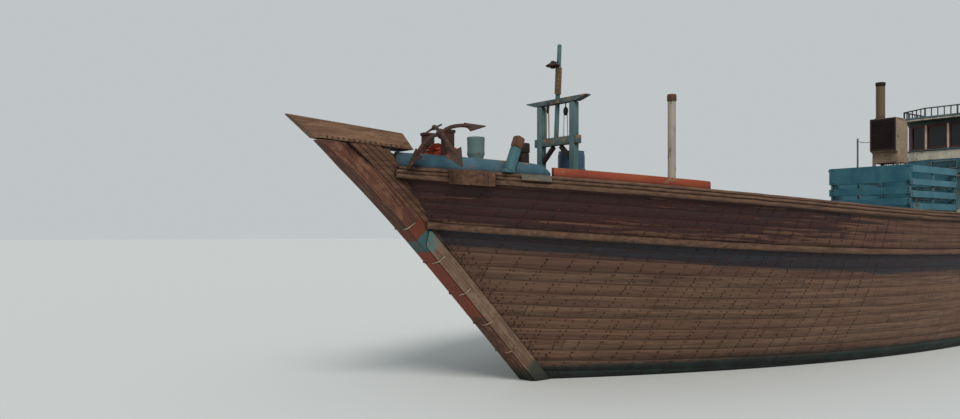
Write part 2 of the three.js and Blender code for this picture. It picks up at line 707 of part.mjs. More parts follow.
function openingTools(house, windows, door) {
  const tools = windows.flatMap(({ wall, from, to, low, high }) => {
    if (wall === 'front') return [block(house.x1 - 400, house.x1 + 400, from, to, low, high)];
    if (wall === 'aft') return [block(house.x0 - 400, house.x0 + 400, from, to, low, high)];
    return [1, -1].map((side) => {
      const y = side * house.half;
      return block(from, to, y - 300, y + 300, low, high);
    });
  });
  for (const side of [1, -1]) {
    const y = side * house.half;
    tools.push(block(door.from, door.to, y - 300, y + 300, door.low, door.high));
  }
  return tools;
}

// A door fills its doorway with clearance and hangs on its forward edge
const DOOR_CLEAR = 8;
const DOOR_SET_IN = 15;
const GRIP = { from: 60, wide: 30, proud: 40, half: 90 };

function door(house, { from, to, low, high }, side) {
  const inner = house.half - house.wall + DOOR_SET_IN;
  const slice = (x0, x1, y0, y1, z0, z1) => block(x0, x1, Math.min(side * y0, side * y1),
    Math.max(side * y0, side * y1), z0, z1);
  const middle = (low + high) / 2;
  return join(
    slice(from + DOOR_CLEAR, to - DOOR_CLEAR, inner, house.half, low + DOOR_CLEAR, high - DOOR_CLEAR),
    slice(from + GRIP.from, from + GRIP.from + GRIP.wide, house.half - 1, house.half + GRIP.proud,
      middle - GRIP.half, middle + GRIP.half),
  );
}

const BOAT_DECK = { x0: -14000, x1: -9250, half: 2950, low: 5100, high: 5200, bow: 500 };
const ROOF = { x0: -13200, x1: -9200, half: 2250, low: 7050, high: 7190, bow: 550 };

function boatDeck() {
  return slab(housePlan(BOAT_DECK), BOAT_DECK.low, BOAT_DECK.high - GAP);
}

function wheelhouseRoof() {
  return slab(housePlan(ROOF), ROOF.low, ROOF.high);
}

// A railing along a run of plan points: posts, a top rail and a middle rail, in one piece
function railing(points, z0, height, size, middle = true) {
  const half = size / 2;
  const pieces = points.map(([x, y]) => block(x - half, x + half, y - half, y + half, z0, z0 + height));
  for (let i = 0; i + 1 < points.length; i += 1) {
    const [ax, ay] = points[i];
    const [bx, by] = points[i + 1];
    const level = (z) => bar([ax, ay, z], [bx, by, z], size * 0.9);
    pieces.push(level(z0 + height - half));
    if (middle) pieces.push(level(z0 + height * 0.45));
  }
  return join(...pieces);
}

function roofRailing() {
  const { x0, x1, half, high } = ROOF;
  const inset = 160;
  const side = [x0 + inset, -12300, -11400, x1 - 700].map((x) => [x, half - inset]);
  const front = [[x1 - inset, 1100], [x1 - inset, 0], [x1 - inset, -1100]];
  const other = side.map(([x, y]) => [x, -y]).reverse();
  return railing([...side, ...front, ...other], high + GAP, 330, 45, false);
}

function boatDeckRailing() {
  const { x0, x1, half, high } = BOAT_DECK;
  const inset = 70;
  const side = [x1 - 500, -10700, -11700, -12700, x0 + inset].map((x) => [x, half - inset]);
  const aft = [[x0 + inset, 950], [x0 + inset, -950]];
  const other = side.map(([x, y]) => [x, -y]).reverse();
  return railing([...side, ...aft, ...other], high, 800, 60);
}

const HELM = { x: -10500, z: 6050, radius: 400, rim: 24, spokes: 6, spoke: 16, handle: 100, hub: 60 };

function helmWheel() {
  const { radius, rim, spokes, spoke, handle, hub } = HELM;
  const arms = Array.from({ length: spokes }, (_, i) => {
    const angle = (i * Math.PI) / spokes;
    const tip = [0, (radius + handle) * Math.cos(angle), (radius + handle) * Math.sin(angle)];
    return axle(tip, tip.map((value) => -value), spoke, 8);
  });
  const felloe = new THREE.TorusGeometry(radius, rim, 8, 24).rotateY(Math.PI / 2);
  return join(felloe, axle([-hub, 0, 0], [PEDESTAL.x0 - 10, 0, 0], hub, 12), ...arms);
}

const PEDESTAL = { x0: 180, x1: 480, half: 200, high: 250 };

function helmPedestal() {
  const { x0, x1, half, high } = PEDESTAL;
  return block(HELM.x + x0, HELM.x + x1, -half, half, WHEELHOUSE.low, HELM.z + high);
}

const group = new THREE.Group();

function add(name, geometry, material, place) {
  const mesh = new THREE.Mesh(geometry, material);
  mesh.name = name;
  if (place) place(mesh);
  group.add(mesh);
}

const { hullTimber, paleTimber, stemTimber, deckTimber, paleBlue, teal } = MATERIALS;
const { maroon, cream, darkRoof, rust, steel, bronze } = MATERIALS;

add('hull', cut(hull(), aperture()), hullTimber);
add('keel', keel(), hullTimber);
add('stem', stem(), stemTimber);
add('stem_knee', stemKnee(), stemTimber);
add('stemhead_cap', stemheadCap(), paleTimber);
add('sternpost', sternpost(), stemTimber);
add('foredeck', deckPlanks(FORE_BREAK_X, FORE_DECK_END, FORE_DECK), deckTimber);
add('main_deck', deckPlanks(POOP_BREAK_X, FORE_BREAK_X, MAIN_DECK), deckTimber);
add('poop_deck', deckPlanks(POOP_DECK_END, POOP_BREAK_X, POOP_DECK), deckTimber);

for (const [name, side] of SIDES) {
  add(`stem_cheek_${name}`, stemCheek(side), paleTimber);
  add(`upper_rub_rail_${name}`, belt(side, -15700, 13800, railHeight, 150, 90), paleTimber);
  add(`mid_rub_rail_${name}`, belt(side, -15300, 13200, midRailHeight, 130, 90), paleTimber);
  add(`cap_rail_${name}`, railStrip(side, -15600, 13700, -200, 40, REST, RAIL_CAP), paleTimber);
  add(`wash_strake_${name}`, washStrake(side), paleBlue);
  add(`rail_bitt_${name}`, railBitt(side), teal);
  add(`deck_bitt_${name}`, deckBitt(side), stemTimber);
  add(`deckhouse_door_${name}`, door(HOUSE, HOUSE_DOOR, side), maroon);
  add(`wheelhouse_door_${name}`, door(WHEELHOUSE, WHEELHOUSE_DOOR, side), maroon);
}

add('rudder', rudder(), stemTimber);
add('propeller', propeller(), bronze);
add('windlass_bitts', windlassBitts(), rust);
add('windlass_barrel', windlassBarrel(), rust);
add('bow_bollard', bowBollard(), paleBlue);
add('anchor', anchor(), rust, placeAnchor);
add('gallows', gallows(), teal);
add('water_drum', waterDrum(), paleBlue);
add('hatch_coaming', hatchCoaming(), hullTimber);
add('hatch_covers', hatchCovers(), deckTimber);
add('king_post', kingPost(), teal);
add('slatted_pen', slattedPen(), teal);
add('engine_casing', engineCasing(), teal);
add('exhaust_housing', exhaustHousing(), maroon);
add('exhaust_stack', exhaustStack(), steel);
add('deckhouse', houseWalls(HOUSE, openingTools(HOUSE, HOUSE_WINDOWS, HOUSE_DOOR)), teal);
add('boat_deck', boatDeck(), deckTimber);
const wheelhouseOpenings = openingTools(WHEELHOUSE, WHEELHOUSE_WINDOWS, WHEELHOUSE_DOOR);
add('wheelhouse', houseWalls(WHEELHOUSE, wheelhouseOpenings), cream);
add('wheelhouse_roof', wheelhouseRoof(), darkRoof);
add('roof_railing', roofRailing(), darkRoof);
add('boat_deck_railing', boatDeckRailing(), teal);
add('helm_pedestal', helmPedestal(), stemTimber);
add('helm_wheel', helmWheel(), stemTimber, (mesh) => mesh.position.set(HELM.x, 0, HELM.z));

export default group;
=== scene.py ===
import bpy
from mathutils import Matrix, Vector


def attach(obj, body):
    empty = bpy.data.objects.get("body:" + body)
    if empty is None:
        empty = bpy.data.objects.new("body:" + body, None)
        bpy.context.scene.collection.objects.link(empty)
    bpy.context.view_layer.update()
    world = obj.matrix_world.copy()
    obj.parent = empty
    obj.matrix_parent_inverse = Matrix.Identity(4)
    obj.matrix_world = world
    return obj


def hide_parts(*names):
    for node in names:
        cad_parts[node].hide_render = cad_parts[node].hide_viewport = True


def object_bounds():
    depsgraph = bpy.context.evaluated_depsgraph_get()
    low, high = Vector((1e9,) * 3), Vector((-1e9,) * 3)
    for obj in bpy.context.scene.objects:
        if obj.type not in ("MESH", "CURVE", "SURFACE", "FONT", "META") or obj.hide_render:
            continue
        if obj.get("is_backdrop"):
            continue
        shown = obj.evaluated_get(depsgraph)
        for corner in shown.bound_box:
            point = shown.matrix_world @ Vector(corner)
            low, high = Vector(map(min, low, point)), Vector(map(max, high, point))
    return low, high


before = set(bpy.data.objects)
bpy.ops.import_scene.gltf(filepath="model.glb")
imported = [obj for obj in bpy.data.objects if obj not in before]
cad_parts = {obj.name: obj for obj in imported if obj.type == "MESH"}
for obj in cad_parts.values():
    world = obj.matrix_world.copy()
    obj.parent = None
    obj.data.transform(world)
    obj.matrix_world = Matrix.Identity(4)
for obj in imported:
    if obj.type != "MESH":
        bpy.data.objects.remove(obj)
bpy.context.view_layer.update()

# %% [markdown]
# # A wooden cargo dhow, afloat
# The boat is built of planks on frames: a raked stem, two heavy rub rails a side, a decked hull, a long open
# waist with a cargo hatch, and two houses aft. The frame above holds its plain solids, in metres: +X is
# forward, +Y is port, +Z is up, and the waterline is at Z = 0. This lesson dresses them as carpenters and
# painters did: planks with seams and nails, rounded timber, turned balusters, chain and worn paint.

# %% Tools for the bench
import math
import random
from contextlib import contextmanager

import bpy
import numpy as np
from mathutils import Matrix, Vector

SEED = 7
chance = random.Random(SEED)
X_AXIS, Y_AXIS, Z_AXIS = Vector((1, 0, 0)), Vector((0, 1, 0)), Vector((0, 0, 1))
SIDES = (("port", 1), ("starboard", -1))


def deselect():
    if bpy.context.mode != "OBJECT":
        bpy.ops.object.mode_set(mode="OBJECT")
    bpy.ops.object.select_all(action="DESELECT")


def only(piece):
    deselect()
    piece.select_set(True)
    bpy.context.view_layer.objects.active = piece
    return piece


def edit(piece, mode="VERT"):
    only(piece)
    bpy.ops.object.mode_set(mode="EDIT")
    bpy.ops.mesh.select_mode(type=mode)


@contextmanager
def editing(piece, mode="VERT"):
    """Edit mode with the whole mesh selected, for what is done in the with block."""
    edit(piece, mode)
    bpy.ops.mesh.select_all(action="SELECT")
    yield
    bpy.ops.object.mode_set(mode="OBJECT")


def pick(piece, mode, test):
    """Selects the faces, edges or vertices whose middle passes the test, and goes back into edit mode."""
    edit(piece, mode)
    bpy.ops.mesh.select_all(action="DESELECT")
    bpy.ops.object.mode_set(mode="OBJECT")
    mesh = piece.data
    for face in mesh.polygons if mode == "FACE" else ():
        face.select = test(face.center, face.normal)
    for edge in mesh.edges if mode == "EDGE" else ():
        a, b = (mesh.vertices[i].co for i in edge.vertices)
        edge.select = test((a + b) / 2, b - a)
    for vertex in mesh.vertices if mode == "VERT" else ():
        vertex.select = test(vertex.co, vertex.normal)
    bpy.ops.object.mode_set(mode="EDIT")


def put(name, data):
    """An object for a mesh or curve that was made without an operator."""
    piece = bpy.data.objects.new(name, data)
    bpy.context.scene.collection.objects.link(piece)
    return piece


def settle(piece):
    """Leaves the object at the origin, with its place in its mesh."""
    only(piece)
    bpy.ops.object.transform_apply(location=True, rotation=True, scale=True)
    return piece


def apply_all(piece):
    only(piece)
    for modifier in list(piece.modifiers):
        bpy.ops.object.modifier_apply(modifier=modifier.name)
    return piece


def tidy_mesh(piece, distance=1e-4):
    with editing(piece):
        bpy.ops.mesh.remove_doubles(threshold=distance)
        bpy.ops.mesh.normals_make_consistent(inside=False)
    return piece


def gather(name, pieces):
    """Joins pieces into one and names it."""
    deselect()
    for piece in pieces:
        piece.select_set(True)
    bpy.context.view_layer.objects.active = pieces[0]
    if len(pieces) > 1:
        bpy.ops.object.join()
    whole = bpy.context.active_object
    whole.name = whole.data.name = name
    return whole


def fit(name, pieces, look, slot=None, stands_for=None, body="hull", degrees=32):
    """Makes one piece of several, smooths it, gives it its finish and hangs it on a body of the boat."""
    whole = only(gather(name, pieces if isinstance(pieces, list) else [pieces]))
    bpy.ops.object.shade_smooth_by_angle(angle=math.radians(degrees))
    whole.data.materials.clear()
    whole.data.materials.append(FINISH[look])
    slot = slot or SLOT_OF[look]
    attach(whole, body)
    if stands_for:
        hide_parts(stands_for)
    print(name, len(whole.data.polygons), "faces")


# %% [markdown]
# ## The camera and the light
# The camera has the place, turn and angle of view of the photograph: near and low, ahead of the port bow. It
# stands level, and a small upward shift puts the horizon where it was. The light is that of a plain studio: a
# pale surround, and one broad lamp high on the port bow, so that the rails and the flare of the bow throw soft
# shadows.

# %% Camera, floor and light
CAMERA_PLACE = (21.84, 12.66, 2.95)
CAMERA_HEADING = 38.0
CAMERA_LENS = 31.125
HORIZON_SHIFT = 0.0255
FLOOR_SIZE = 900.0
PALE = (0.60, 0.62, 0.62)
SKY = (0.62, 0.66, 0.67)


def add_camera():
    bpy.ops.object.camera_add(location=CAMERA_PLACE)
    camera = bpy.context.active_object
    heading = math.radians(CAMERA_HEADING)
    look = Vector((-math.sin(heading), -math.cos(heading), 0))
    camera.rotation_euler = look.to_track_quat("-Z", "Y").to_euler()
    camera.data.lens = CAMERA_LENS
    camera.data.sensor_width = 36.0
    camera.data.shift_y = HORIZON_SHIFT
    camera.data.clip_end = 2000.0
    bpy.context.scene.camera = camera


def add_floor():
    deselect()
    bpy.ops.mesh.primitive_plane_add(size=FLOOR_SIZE, location=(0, 0, 0))
    floor = bpy.context.active_object
    floor.name = "floor"
    floor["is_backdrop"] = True
    material = bpy.data.materials.new("pale_floor")
    material.use_nodes = True
    shader = material.node_tree.nodes["Principled BSDF"]
    shader.inputs["Base Color"].default_value = (*PALE, 1)
    shader.inputs["Roughness"].default_value = 0.9
    shader.inputs["Specular IOR Level"].default_value = 0.1
    floor.data.materials.append(material)


def add_light():
    world = bpy.data.worlds.new("studio")
    bpy.context.scene.world = world
    world.use_nodes = True
    background = world.node_tree.nodes["Background"]
    background.inputs["Color"].default_value = (*SKY, 1)
    background.inputs["Strength"].default_value = 0.85
    deselect()
    bpy.ops.object.light_add(type="SUN", location=(10, 20, 20))
    lamp = bpy.context.active_object
    lamp.rotation_euler = Vector((-0.35, -0.62, -0.62)).to_track_quat("-Z", "Y").to_euler()
    lamp.data.energy = 2.1
    lamp.data.angle = math.radians(22)
    lamp.data.color = (1.0, 0.96, 0.9)


add_camera()
add_floor()
add_light()
bpy.context.scene.view_settings.view_transform = "Standard"

# %% [markdown]
# ## The hull's lines
# A shipwright sets the shape of a hull by a few curves: the sheer of the rail, the lower rub rail, the rake of
# the stem and of the stern, and the breadth at every height. The same curves are written here as formulas, so
# that planks, rails and nails can be laid on them exactly where the frame's solid is.

# %% Lines of the hull
KEEL_TOP, SHEER_LOW_X, RAIL_LOW, MID_RAIL_LOW = -1.6, -3.0, 3.4, 2.57
STEM_FOOT_X, STEM_DEPTH, BOW_HALF, BEAM_HALF, KEEL_HALF = 10.8, 0.5, 0.2, 4.0, 0.15
MAIN_DECK, FORE_DECK, POOP_DECK = 2.9, 3.55, 3.6
FORE_BREAK, POOP_BREAK, BULWARK = 8.5, -13.7, 0.14
ON_MAIN_DECK, ON_FOREDECK = 2.905, 3.552
STEM_RAKE, STERN_FOOT_X, STERN_RAKE = 0.96, -14.3, 0.28
# The hollow behind the stemhead, which the knee boards fill: where it starts, its height and its reach
HOLLOW_LOW, HOLLOW_RISE, HOLLOW_REACH = 2.4, 1.7, 0.52


def rise(x, fore, aft, reach, power):
    ahead = fore * (np.maximum(x - SHEER_LOW_X, 0) / reach) ** power
    return np.where(x > SHEER_LOW_X, ahead, aft * ((SHEER_LOW_X - x) / 13) ** 2)


def rail_z(x):
    return RAIL_LOW + rise(x, 0.72, 0.9, 17.3, 2.2)


def mid_rail_z(x):
    return MID_RAIL_LOW + rise(x, 0.6, 0.76, 16.3, 2.6)


def stem_x(z):
    return STEM_FOOT_X + STEM_RAKE * z + 1.65e-4 * np.maximum(z, 0) ** 5


def plank_end_x(z):
    return stem_x(z) - STEM_DEPTH - HOLLOW_REACH * np.maximum((z - HOLLOW_LOW) / HOLLOW_RISE, 0) ** 1.5


def stern_x(z):
    return STERN_FOOT_X - STERN_RAKE * (z + 1.95)


def half_breadth(x, z):
    height = np.maximum(z - KEEL_TOP, 0) / 5.9
    middle = KEEL_HALF + (BEAM_HALF - KEEL_HALF) * height ** 0.18
    transom = np.minimum(0.16 + 2.75 * np.sqrt(np.maximum((z - 0.4) / 3.9, 0)), middle)
    bow = np.minimum(BOW_HALF, middle)
    entry = np.clip((plank_end_x(z) - x) / 12.5, 0, 1)
    run = np.clip((x - stern_x(z)) / 11, 0, 1)
    fore = bow + (middle - bow) * (1 - (1 - entry) ** (2.1 + 0.35 * z))
    return transom + (fore - transom) * (1 - (1 - run) ** (1.8 + 0.27 * z))


# Strakes are numbered from the keel up: thirty to the lower rub rail, five from there to the rail
LOW_STRAKES, HIGH_STRAKES = 30, 5
STRAKES = LOW_STRAKES + HIGH_STRAKES


def strake_heights():
    """Shares of the height below the lower rail at which the strakes meet, all as wide amidships."""
    z = np.linspace(KEEL_TOP, MID_RAIL_LOW, 2000)
    y = half_breadth(np.full_like(z, SHEER_LOW_X), z)
    girth = np.concatenate([[0], np.cumsum(np.hypot(np.diff(z), np.diff(y)))])
    edges = np.interp(np.linspace(0, girth[-1], LOW_STRAKES + 1), girth, z)
    return (edges - KEEL_TOP) / (MID_RAIL_LOW - KEEL_TOP)


STRAKE_HEIGHTS = strake_heights()


def strake_z(x, strake):
    low = np.interp(strake, np.arange(LOW_STRAKES + 1), STRAKE_HEIGHTS)
    below = KEEL_TOP + low * (mid_rail_z(x) - KEEL_TOP)
    above = mid_rail_z(x) + (strake - LOW_STRAKES) / HIGH_STRAKES * (rail_z(x) - mid_rail_z(x))
    return np.where(strake <= LOW_STRAKES, below, above)


def on_side(x, strake):
    """A point on the port side, by its place along the boat and its strake number."""
    z = strake_z(x, strake)
    return np.stack([x, half_breadth(x, z), z], axis=-1)


def on_skin(share, strake):
    """The same, by its share of the way from the stern to the stem along its own strake."""
    x = -15.5 + 29.0 * share
    for _ in range(6):
        z = strake_z(x, strake)
        x = stern_x(z) + (plank_end_x(z) - stern_x(z)) * share
    return on_side(x, strake)


def facing(surface, u, v, du, dv):
    """The outward normal of a surface of two numbers, by small steps along each."""
    along = surface(np.clip(u + du, 0, 1) if surface is on_skin else u + du, v) - surface(u - du, v)
    up = surface(u, np.minimum(v + dv, STRAKES)) - surface(u, np.maximum(v - dv, 0))
    normal = np.cross(up, along)
    normal /= np.maximum(np.linalg.norm(normal, axis=-1, keepdims=True), 1e-9)
    return np.where(normal[..., 1:2] < -0.5, -normal, normal)


print("half breadth amidships", round(float(half_breadth(np.array(0.0), np.array(3.0))), 3))

# %% [markdown]
# ## Planking
# The real side is carvel planked: broad strakes, edge to edge, their seams payed with a dark compound. A grid
# is added for each side, its rows two to a strake and one to a seam, and its points are laid on the hull's
# lines, the seam rows a little deeper. Solidify then gives the planks their thickness.

# %% Plank the sides
SKIN, SEAM_DEPTH, SEAM_HALF = 0.022, 0.0035, 0.025
COLUMNS = 110


def lay_grid(columns, rows, place):
    """A grid whose points are put in place by a function of their two shares, each from 0 to 1."""
    deselect()
    bpy.ops.mesh.primitive_grid_add(x_subdivisions=columns, y_subdivisions=rows, size=2)
    piece = bpy.context.active_object
    count = len(piece.data.vertices)
    flat = np.zeros(count * 3)
    piece.data.vertices.foreach_get("co", flat)
    shares = (flat.reshape(-1, 3)[:, :2] + 1) / 2
    points = place(shares[:, 0], shares[:, 1])
    piece.data.vertices.foreach_set("co", points.ravel())
    piece.data.update()
    return piece


def seam_rows():
    """Strake numbers of the rows, and how deep each lies: seam, plank edge, plank edge, seam."""
    numbers, depths = [0.0], [0.0]
    for strake in range(STRAKES):
        numbers += [strake + SEAM_HALF, strake + 1 - SEAM_HALF, strake + 1]
        depths += [0.0, 0.0, SEAM_DEPTH]
    depths[-1] = 0.0
    return np.array(numbers), np.array(depths)


ROW_STRAKES, ROW_DEPTHS = seam_rows()


def plank_side(side):
    rows = len(ROW_STRAKES) - 1

    def place(share, height):
        row = np.rint(height * rows).astype(int)
        share = share ** 0.93
        strake, depth = ROW_STRAKES[row], ROW_DEPTHS[row]
        inside = np.clip(share, 1e-4, 1 - 1e-4)
        points = on_skin(share, strake)
        points += facing(on_skin, inside, strake, 5e-5, 0.01) * (SKIN - depth)[:, None]
        points[:, 1] *= side
        return points

    piece = lay_grid(COLUMNS, rows, place)
    piece.name = "planking_side"
    mark_heights(piece)
    return piece


def mark_heights(piece):
    """Two UV maps for the finish: place along and strake, and height above the lower rail and the waterline."""
    mesh = piece.data
    flat = np.zeros(len(mesh.vertices) * 3)
    mesh.vertices.foreach_get("co", flat)
    x, _, z = flat.reshape(-1, 3).T
    share = (z - KEEL_TOP) / (mid_rail_z(x) - KEEL_TOP)
    low = np.interp(share, STRAKE_HEIGHTS, np.arange(LOW_STRAKES + 1))
    high = LOW_STRAKES + HIGH_STRAKES * (z - mid_rail_z(x)) / (rail_z(x) - mid_rail_z(x))
    strake = np.where(z > mid_rail_z(x), high, low)
    corners = np.zeros(len(mesh.loops), dtype=int)
    mesh.loops.foreach_get("vertex_index", corners)
    for layer in list(mesh.uv_layers):
        mesh.uv_layers.remove(layer)
    for name, u, v in (("planks", x, strake), ("heights", z - mid_rail_z(x), z)):
        layer = mesh.uv_layers.new(name=name)
        layer.data.foreach_set("uv", np.stack([u[corners], v[corners]], axis=-1).ravel())


def cut_screw_opening(piece):
    """The opening for the screw, ahead of the sternpost: two cuts, then the faces behind and below them go."""
    low, high, length = KEEL_TOP, -0.12, 0.64
    lean = Vector((1, 0, STERN_RAKE))
    for place, normal in (((stern_x(low) + length, 0, low), lean), ((0, 0, high), Z_AXIS)):
        with editing(piece):
            bpy.ops.mesh.bisect(plane_co=place, plane_no=normal)
    pick(piece, "FACE", lambda at, _: at.z < high and at.x < stern_x(at.z) + length)
    bpy.ops.mesh.delete(type="FACE")
    bpy.ops.object.mode_set(mode="OBJECT")
    return piece


def thicken(piece, thickness):
    modifier = piece.modifiers.new("thickness", "SOLIDIFY")
    modifier.thickness = thickness
    modifier.offset = -1
    return apply_all(piece)


def face_out(piece, side):
    """Turns a sheet's faces to the outside of the boat."""
    mean = sum(face.normal.y * side + face.normal.z * -0.2 for face in piece.data.polygons)
    if mean < 0:
        with editing(piece):
            bpy.ops.mesh.flip_normals()
    return piece


planking = {}
for name, side in SIDES:
    sheet = face_out(cut_screw_opening(plank_side(side)), side)
    planking[name] = thicken(sheet, SKIN - 0.004)
    print("planking", name, len(planking[name].data.polygons), "faces")

# %% [markdown]
# ## Finishes
# Everything on a dhow is weathered: bare timber bleaches and darkens in streaks along its grain, paint chalks
# and flakes to the wood, iron rusts and stains what is below it. Such effects are made once, as shader node
# groups that give colours, masks and heights, and each material then mixes them with its own values.

# %% Tools for node trees
def add_node(tree, kind, inputs=None, **settings):
    """Adds a node, sets its settings, and fills or links its inputs by name or number."""
    made = tree.nodes.new(kind)
    for key, value in settings.items():
        setattr(made, key, value)
    for key, value in (inputs or {}).items():
        socket = made.inputs[key]
        if isinstance(value, bpy.types.NodeSocket):
            tree.links.new(value, socket)
        elif isinstance(value, tuple) and socket.type == "RGBA" and len(value) == 3:
            socket.default_value = (*value, 1)
        else:
            socket.default_value = value
    return made


def maths(tree, operation, a, b=0.0, clamp=False):
    return add_node(tree, "ShaderNodeMath", {0: a, 1: b}, operation=operation, use_clamp=clamp).outputs[0]


def times(tree, a, b):
    return maths(tree, "MULTIPLY", a, b)


def plus(tree, a, b):
    return maths(tree, "ADD", a, b)


def minus(tree, a, b):
    return maths(tree, "SUBTRACT", a, b)


def from_middle(tree, value):
    """How far a value is from the middle between two whole numbers."""
    return maths(tree, "ABSOLUTE", minus(tree, maths(tree, "FRACT", value), 0.5))


def blend(tree, factor, a, b, kind="MIX"):
    made = add_node(tree, "ShaderNodeMix", {0: factor, 6: a, 7: b}, data_type="RGBA", blend_type=kind)
    return made.outputs[2]


def band(tree, value, low, high, out_low=0.0, out_high=1.0):
    """Maps a value from one range to another, smoothly and clamped."""
    made = add_node(tree, "ShaderNodeMapRange", {0: value, 1: low, 2: high, 3: out_low, 4: out_high},
                    interpolation_type="SMOOTHSTEP")
    return made.outputs[0]


def noise(tree, vector, scale, detail=4.0, rough=0.55, lump=0.0):
    made = add_node(tree, "ShaderNodeTexNoise", {"Vector": vector, "Scale": scale, "Detail": detail,
                                                 "Roughness": rough, "Distortion": lump})
    return made.outputs[0]


def stretched(tree, vector, scale):
    return add_node(tree, "ShaderNodeMapping", {"Vector": vector, "Scale": scale}).outputs[0]


def new_group(name, inputs, outputs):
    """A shader node group with the named sockets: returns its tree, its input node and its output node."""
    tree = bpy.data.node_groups.new(name, "ShaderNodeTree")
    kinds = {"value": "NodeSocketFloat", "colour": "NodeSocketColor", "vector": "NodeSocketVector"}
    for direction, sockets in (("INPUT", inputs), ("OUTPUT", outputs)):
        for label, kind in sockets:
            tree.interface.new_socket(name=label, in_out=direction, socket_type=kinds[kind])
    return tree, tree.nodes.new("NodeGroupInput"), tree.nodes.new("NodeGroupOutput")


def use_group(tree, group, **inputs):
    return add_node(tree, "ShaderNodeGroup", inputs, node_tree=group).outputs


def srgb(red, green, blue):
    """A colour as a painter's chart gives it, 0 to 255, in the linear light that shaders work in."""
    def linear(value):
        value /= 255
        return value / 12.92 if value <= 0.04045 else ((value + 0.055) / 1.055) ** 2.4
    return linear(red), linear(green), linear(blue)


# %% [markdown]
# ### Grain, seams, chipped paint, rust, and painted shade with grime
# - Grain is noise drawn out along the timber, in a coarse and a fine size.
# - Boards are told apart by rounding the place across them down to a whole number and drawing a random tone for
#   it.
# - Chipped paint is a noise cut at a sharp level. Along edges the level moves, because knocks and feet wear
#   them first.
# - Rust is two noises between a dark and an orange brown.
# - Painted shade with grime is what ambient occlusion finds: corners and the undersides of rails are darkened
#   towards a brown, in patches set by a noise.

# %% Groups that several finishes share
def build_grain():
    tree, given, out = new_group("timber_grain", [("Vector", "vector"), ("Fineness", "value")],
                                 [("Tone", "value"), ("Fibre", "value")])
    tone = noise(tree, given.outputs[0], 1.6, 5, 0.6, 0.4)
    fine = noise(tree, given.outputs[0], given.outputs[1], 3.0, 0.7)
    tree.links.new(band(tree, tone, 0.28, 0.72), out.inputs[0])
    tree.links.new(band(tree, fine, 0.3, 0.7), out.inputs[1])
    return tree


def build_boards():
    """Across counts the boards; Along is metres along them. Puts out a seam mask and a tone for each board."""
    tree, given, out = new_group("boards", [("Across", "value"), ("Along", "value"), ("Length", "value"),
                                            ("Seam", "value")], [("Seam", "value"), ("Tone", "value")])
    across, along, length, seam = given.outputs[:4]
    row = maths(tree, "FLOOR", across)
    offset = times(tree, maths(tree, "FRACT", times(tree, row, 0.618)), length)
    place = maths(tree, "DIVIDE", plus(tree, along, offset), length)
    piece = maths(tree, "FLOOR", place)
    spot = add_node(tree, "ShaderNodeCombineXYZ", {0: row, 1: piece}).outputs[0]
    tone = add_node(tree, "ShaderNodeTexWhiteNoise", {"Vector": spot}, noise_dimensions="2D").outputs[0]
    long_seam = band(tree, from_middle(tree, across), minus(tree, 0.5, seam), 0.5)
    butt = band(tree, from_middle(tree, place), 0.4975, 0.4992)
    tree.links.new(maths(tree, "MAXIMUM", long_seam, butt), out.inputs[0])
    tree.links.new(tone, out.inputs[1])
    return tree


def build_edges():
    """Where a solid's arrises are: the rounded normal leans away from the true one there."""
    tree, given, out = new_group("worn_edges", [("Radius", "value")], [("Edge", "value")])
    rounded = add_node(tree, "ShaderNodeBevel", {"Radius": given.outputs[0]}, samples=4)
    true = tree.nodes.new("ShaderNodeNewGeometry")
    lean = add_node(tree, "ShaderNodeVectorMath", {0: rounded.outputs[0], 1: true.outputs["Normal"]},
                    operation="DOT_PRODUCT").outputs["Value"]
    tree.links.new(band(tree, lean, 0.995, 0.86), out.inputs[0])
    return tree


def build_chips():
    """Flaked paint. Loss is how much has gone, Edge adds to it. Puts out a mask of paint and its height."""
    tree, given, out = new_group("chipped_paint", [("Vector", "vector"), ("Loss", "value"), ("Edge", "value"),
                                                   ("Scale", "value")],
                                 [("Paint", "value"), ("Height", "value")])
    vector, loss, edge, scale = given.outputs[:4]
    flakes = noise(tree, vector, scale, 9.0, 0.68)
    level = plus(tree, loss, times(tree, edge, 0.22))
    start = plus(tree, times(tree, level, 0.6), 0.2)
    paint = band(tree, flakes, start, plus(tree, start, 0.035))
    tree.links.new(paint, out.inputs[0])
    tree.links.new(plus(tree, paint, times(tree, flakes, 0.3)), out.inputs[1])
    return tree


def build_rust():
    tree, given, out = new_group("rust", [("Vector", "vector")], [("Color", "colour"), ("Height", "value")])
    coarse = noise(tree, given.outputs[0], 5.0, 7, 0.65)
    fine = noise(tree, given.outputs[0], 42.0, 5, 0.7)
    mixed = blend(tree, band(tree, coarse, 0.38, 0.62), srgb(58, 34, 26), srgb(126, 70, 40))
    mixed = blend(tree, band(tree, fine, 0.52, 0.68), mixed, srgb(150, 92, 56))
    tree.links.new(mixed, out.inputs[0])
    tree.links.new(plus(tree, coarse, times(tree, fine, 0.5)), out.inputs[1])
    return tree


def build_painted_shade_and_grime():
    tree, given, out = new_group("painted_shade_and_grime", [("Color", "colour"), ("Reach", "value"), ("Amount", "value")],
                                 [("Color", "colour")])
    colour, reach, amount = given.outputs[:3]
    open_sky = add_node(tree, "ShaderNodeAmbientOcclusion", {"Distance": reach}, samples=6).outputs["AO"]
    spots = tree.nodes.new("ShaderNodeTexCoord")
    drift = noise(tree, spots.outputs["Object"], 2.2, 5, 0.6)
    # Painted shade: ambient occlusion darkens corners and undersides, and a noise breaks it into patches of
    # grime
    shade_and_dirt = times(tree, band(tree, open_sky, 0.95, 0.35), amount)
    shade_and_dirt = maths(tree, "MULTIPLY", shade_and_dirt, band(tree, drift, 0.3, 0.6, 0.6, 1.0), clamp=True)
    dark = blend(tree, 1.0, colour, srgb(96, 84, 76), "MULTIPLY")
    tree.links.new(blend(tree, shade_and_dirt, colour, dark), out.inputs[0])
    return tree


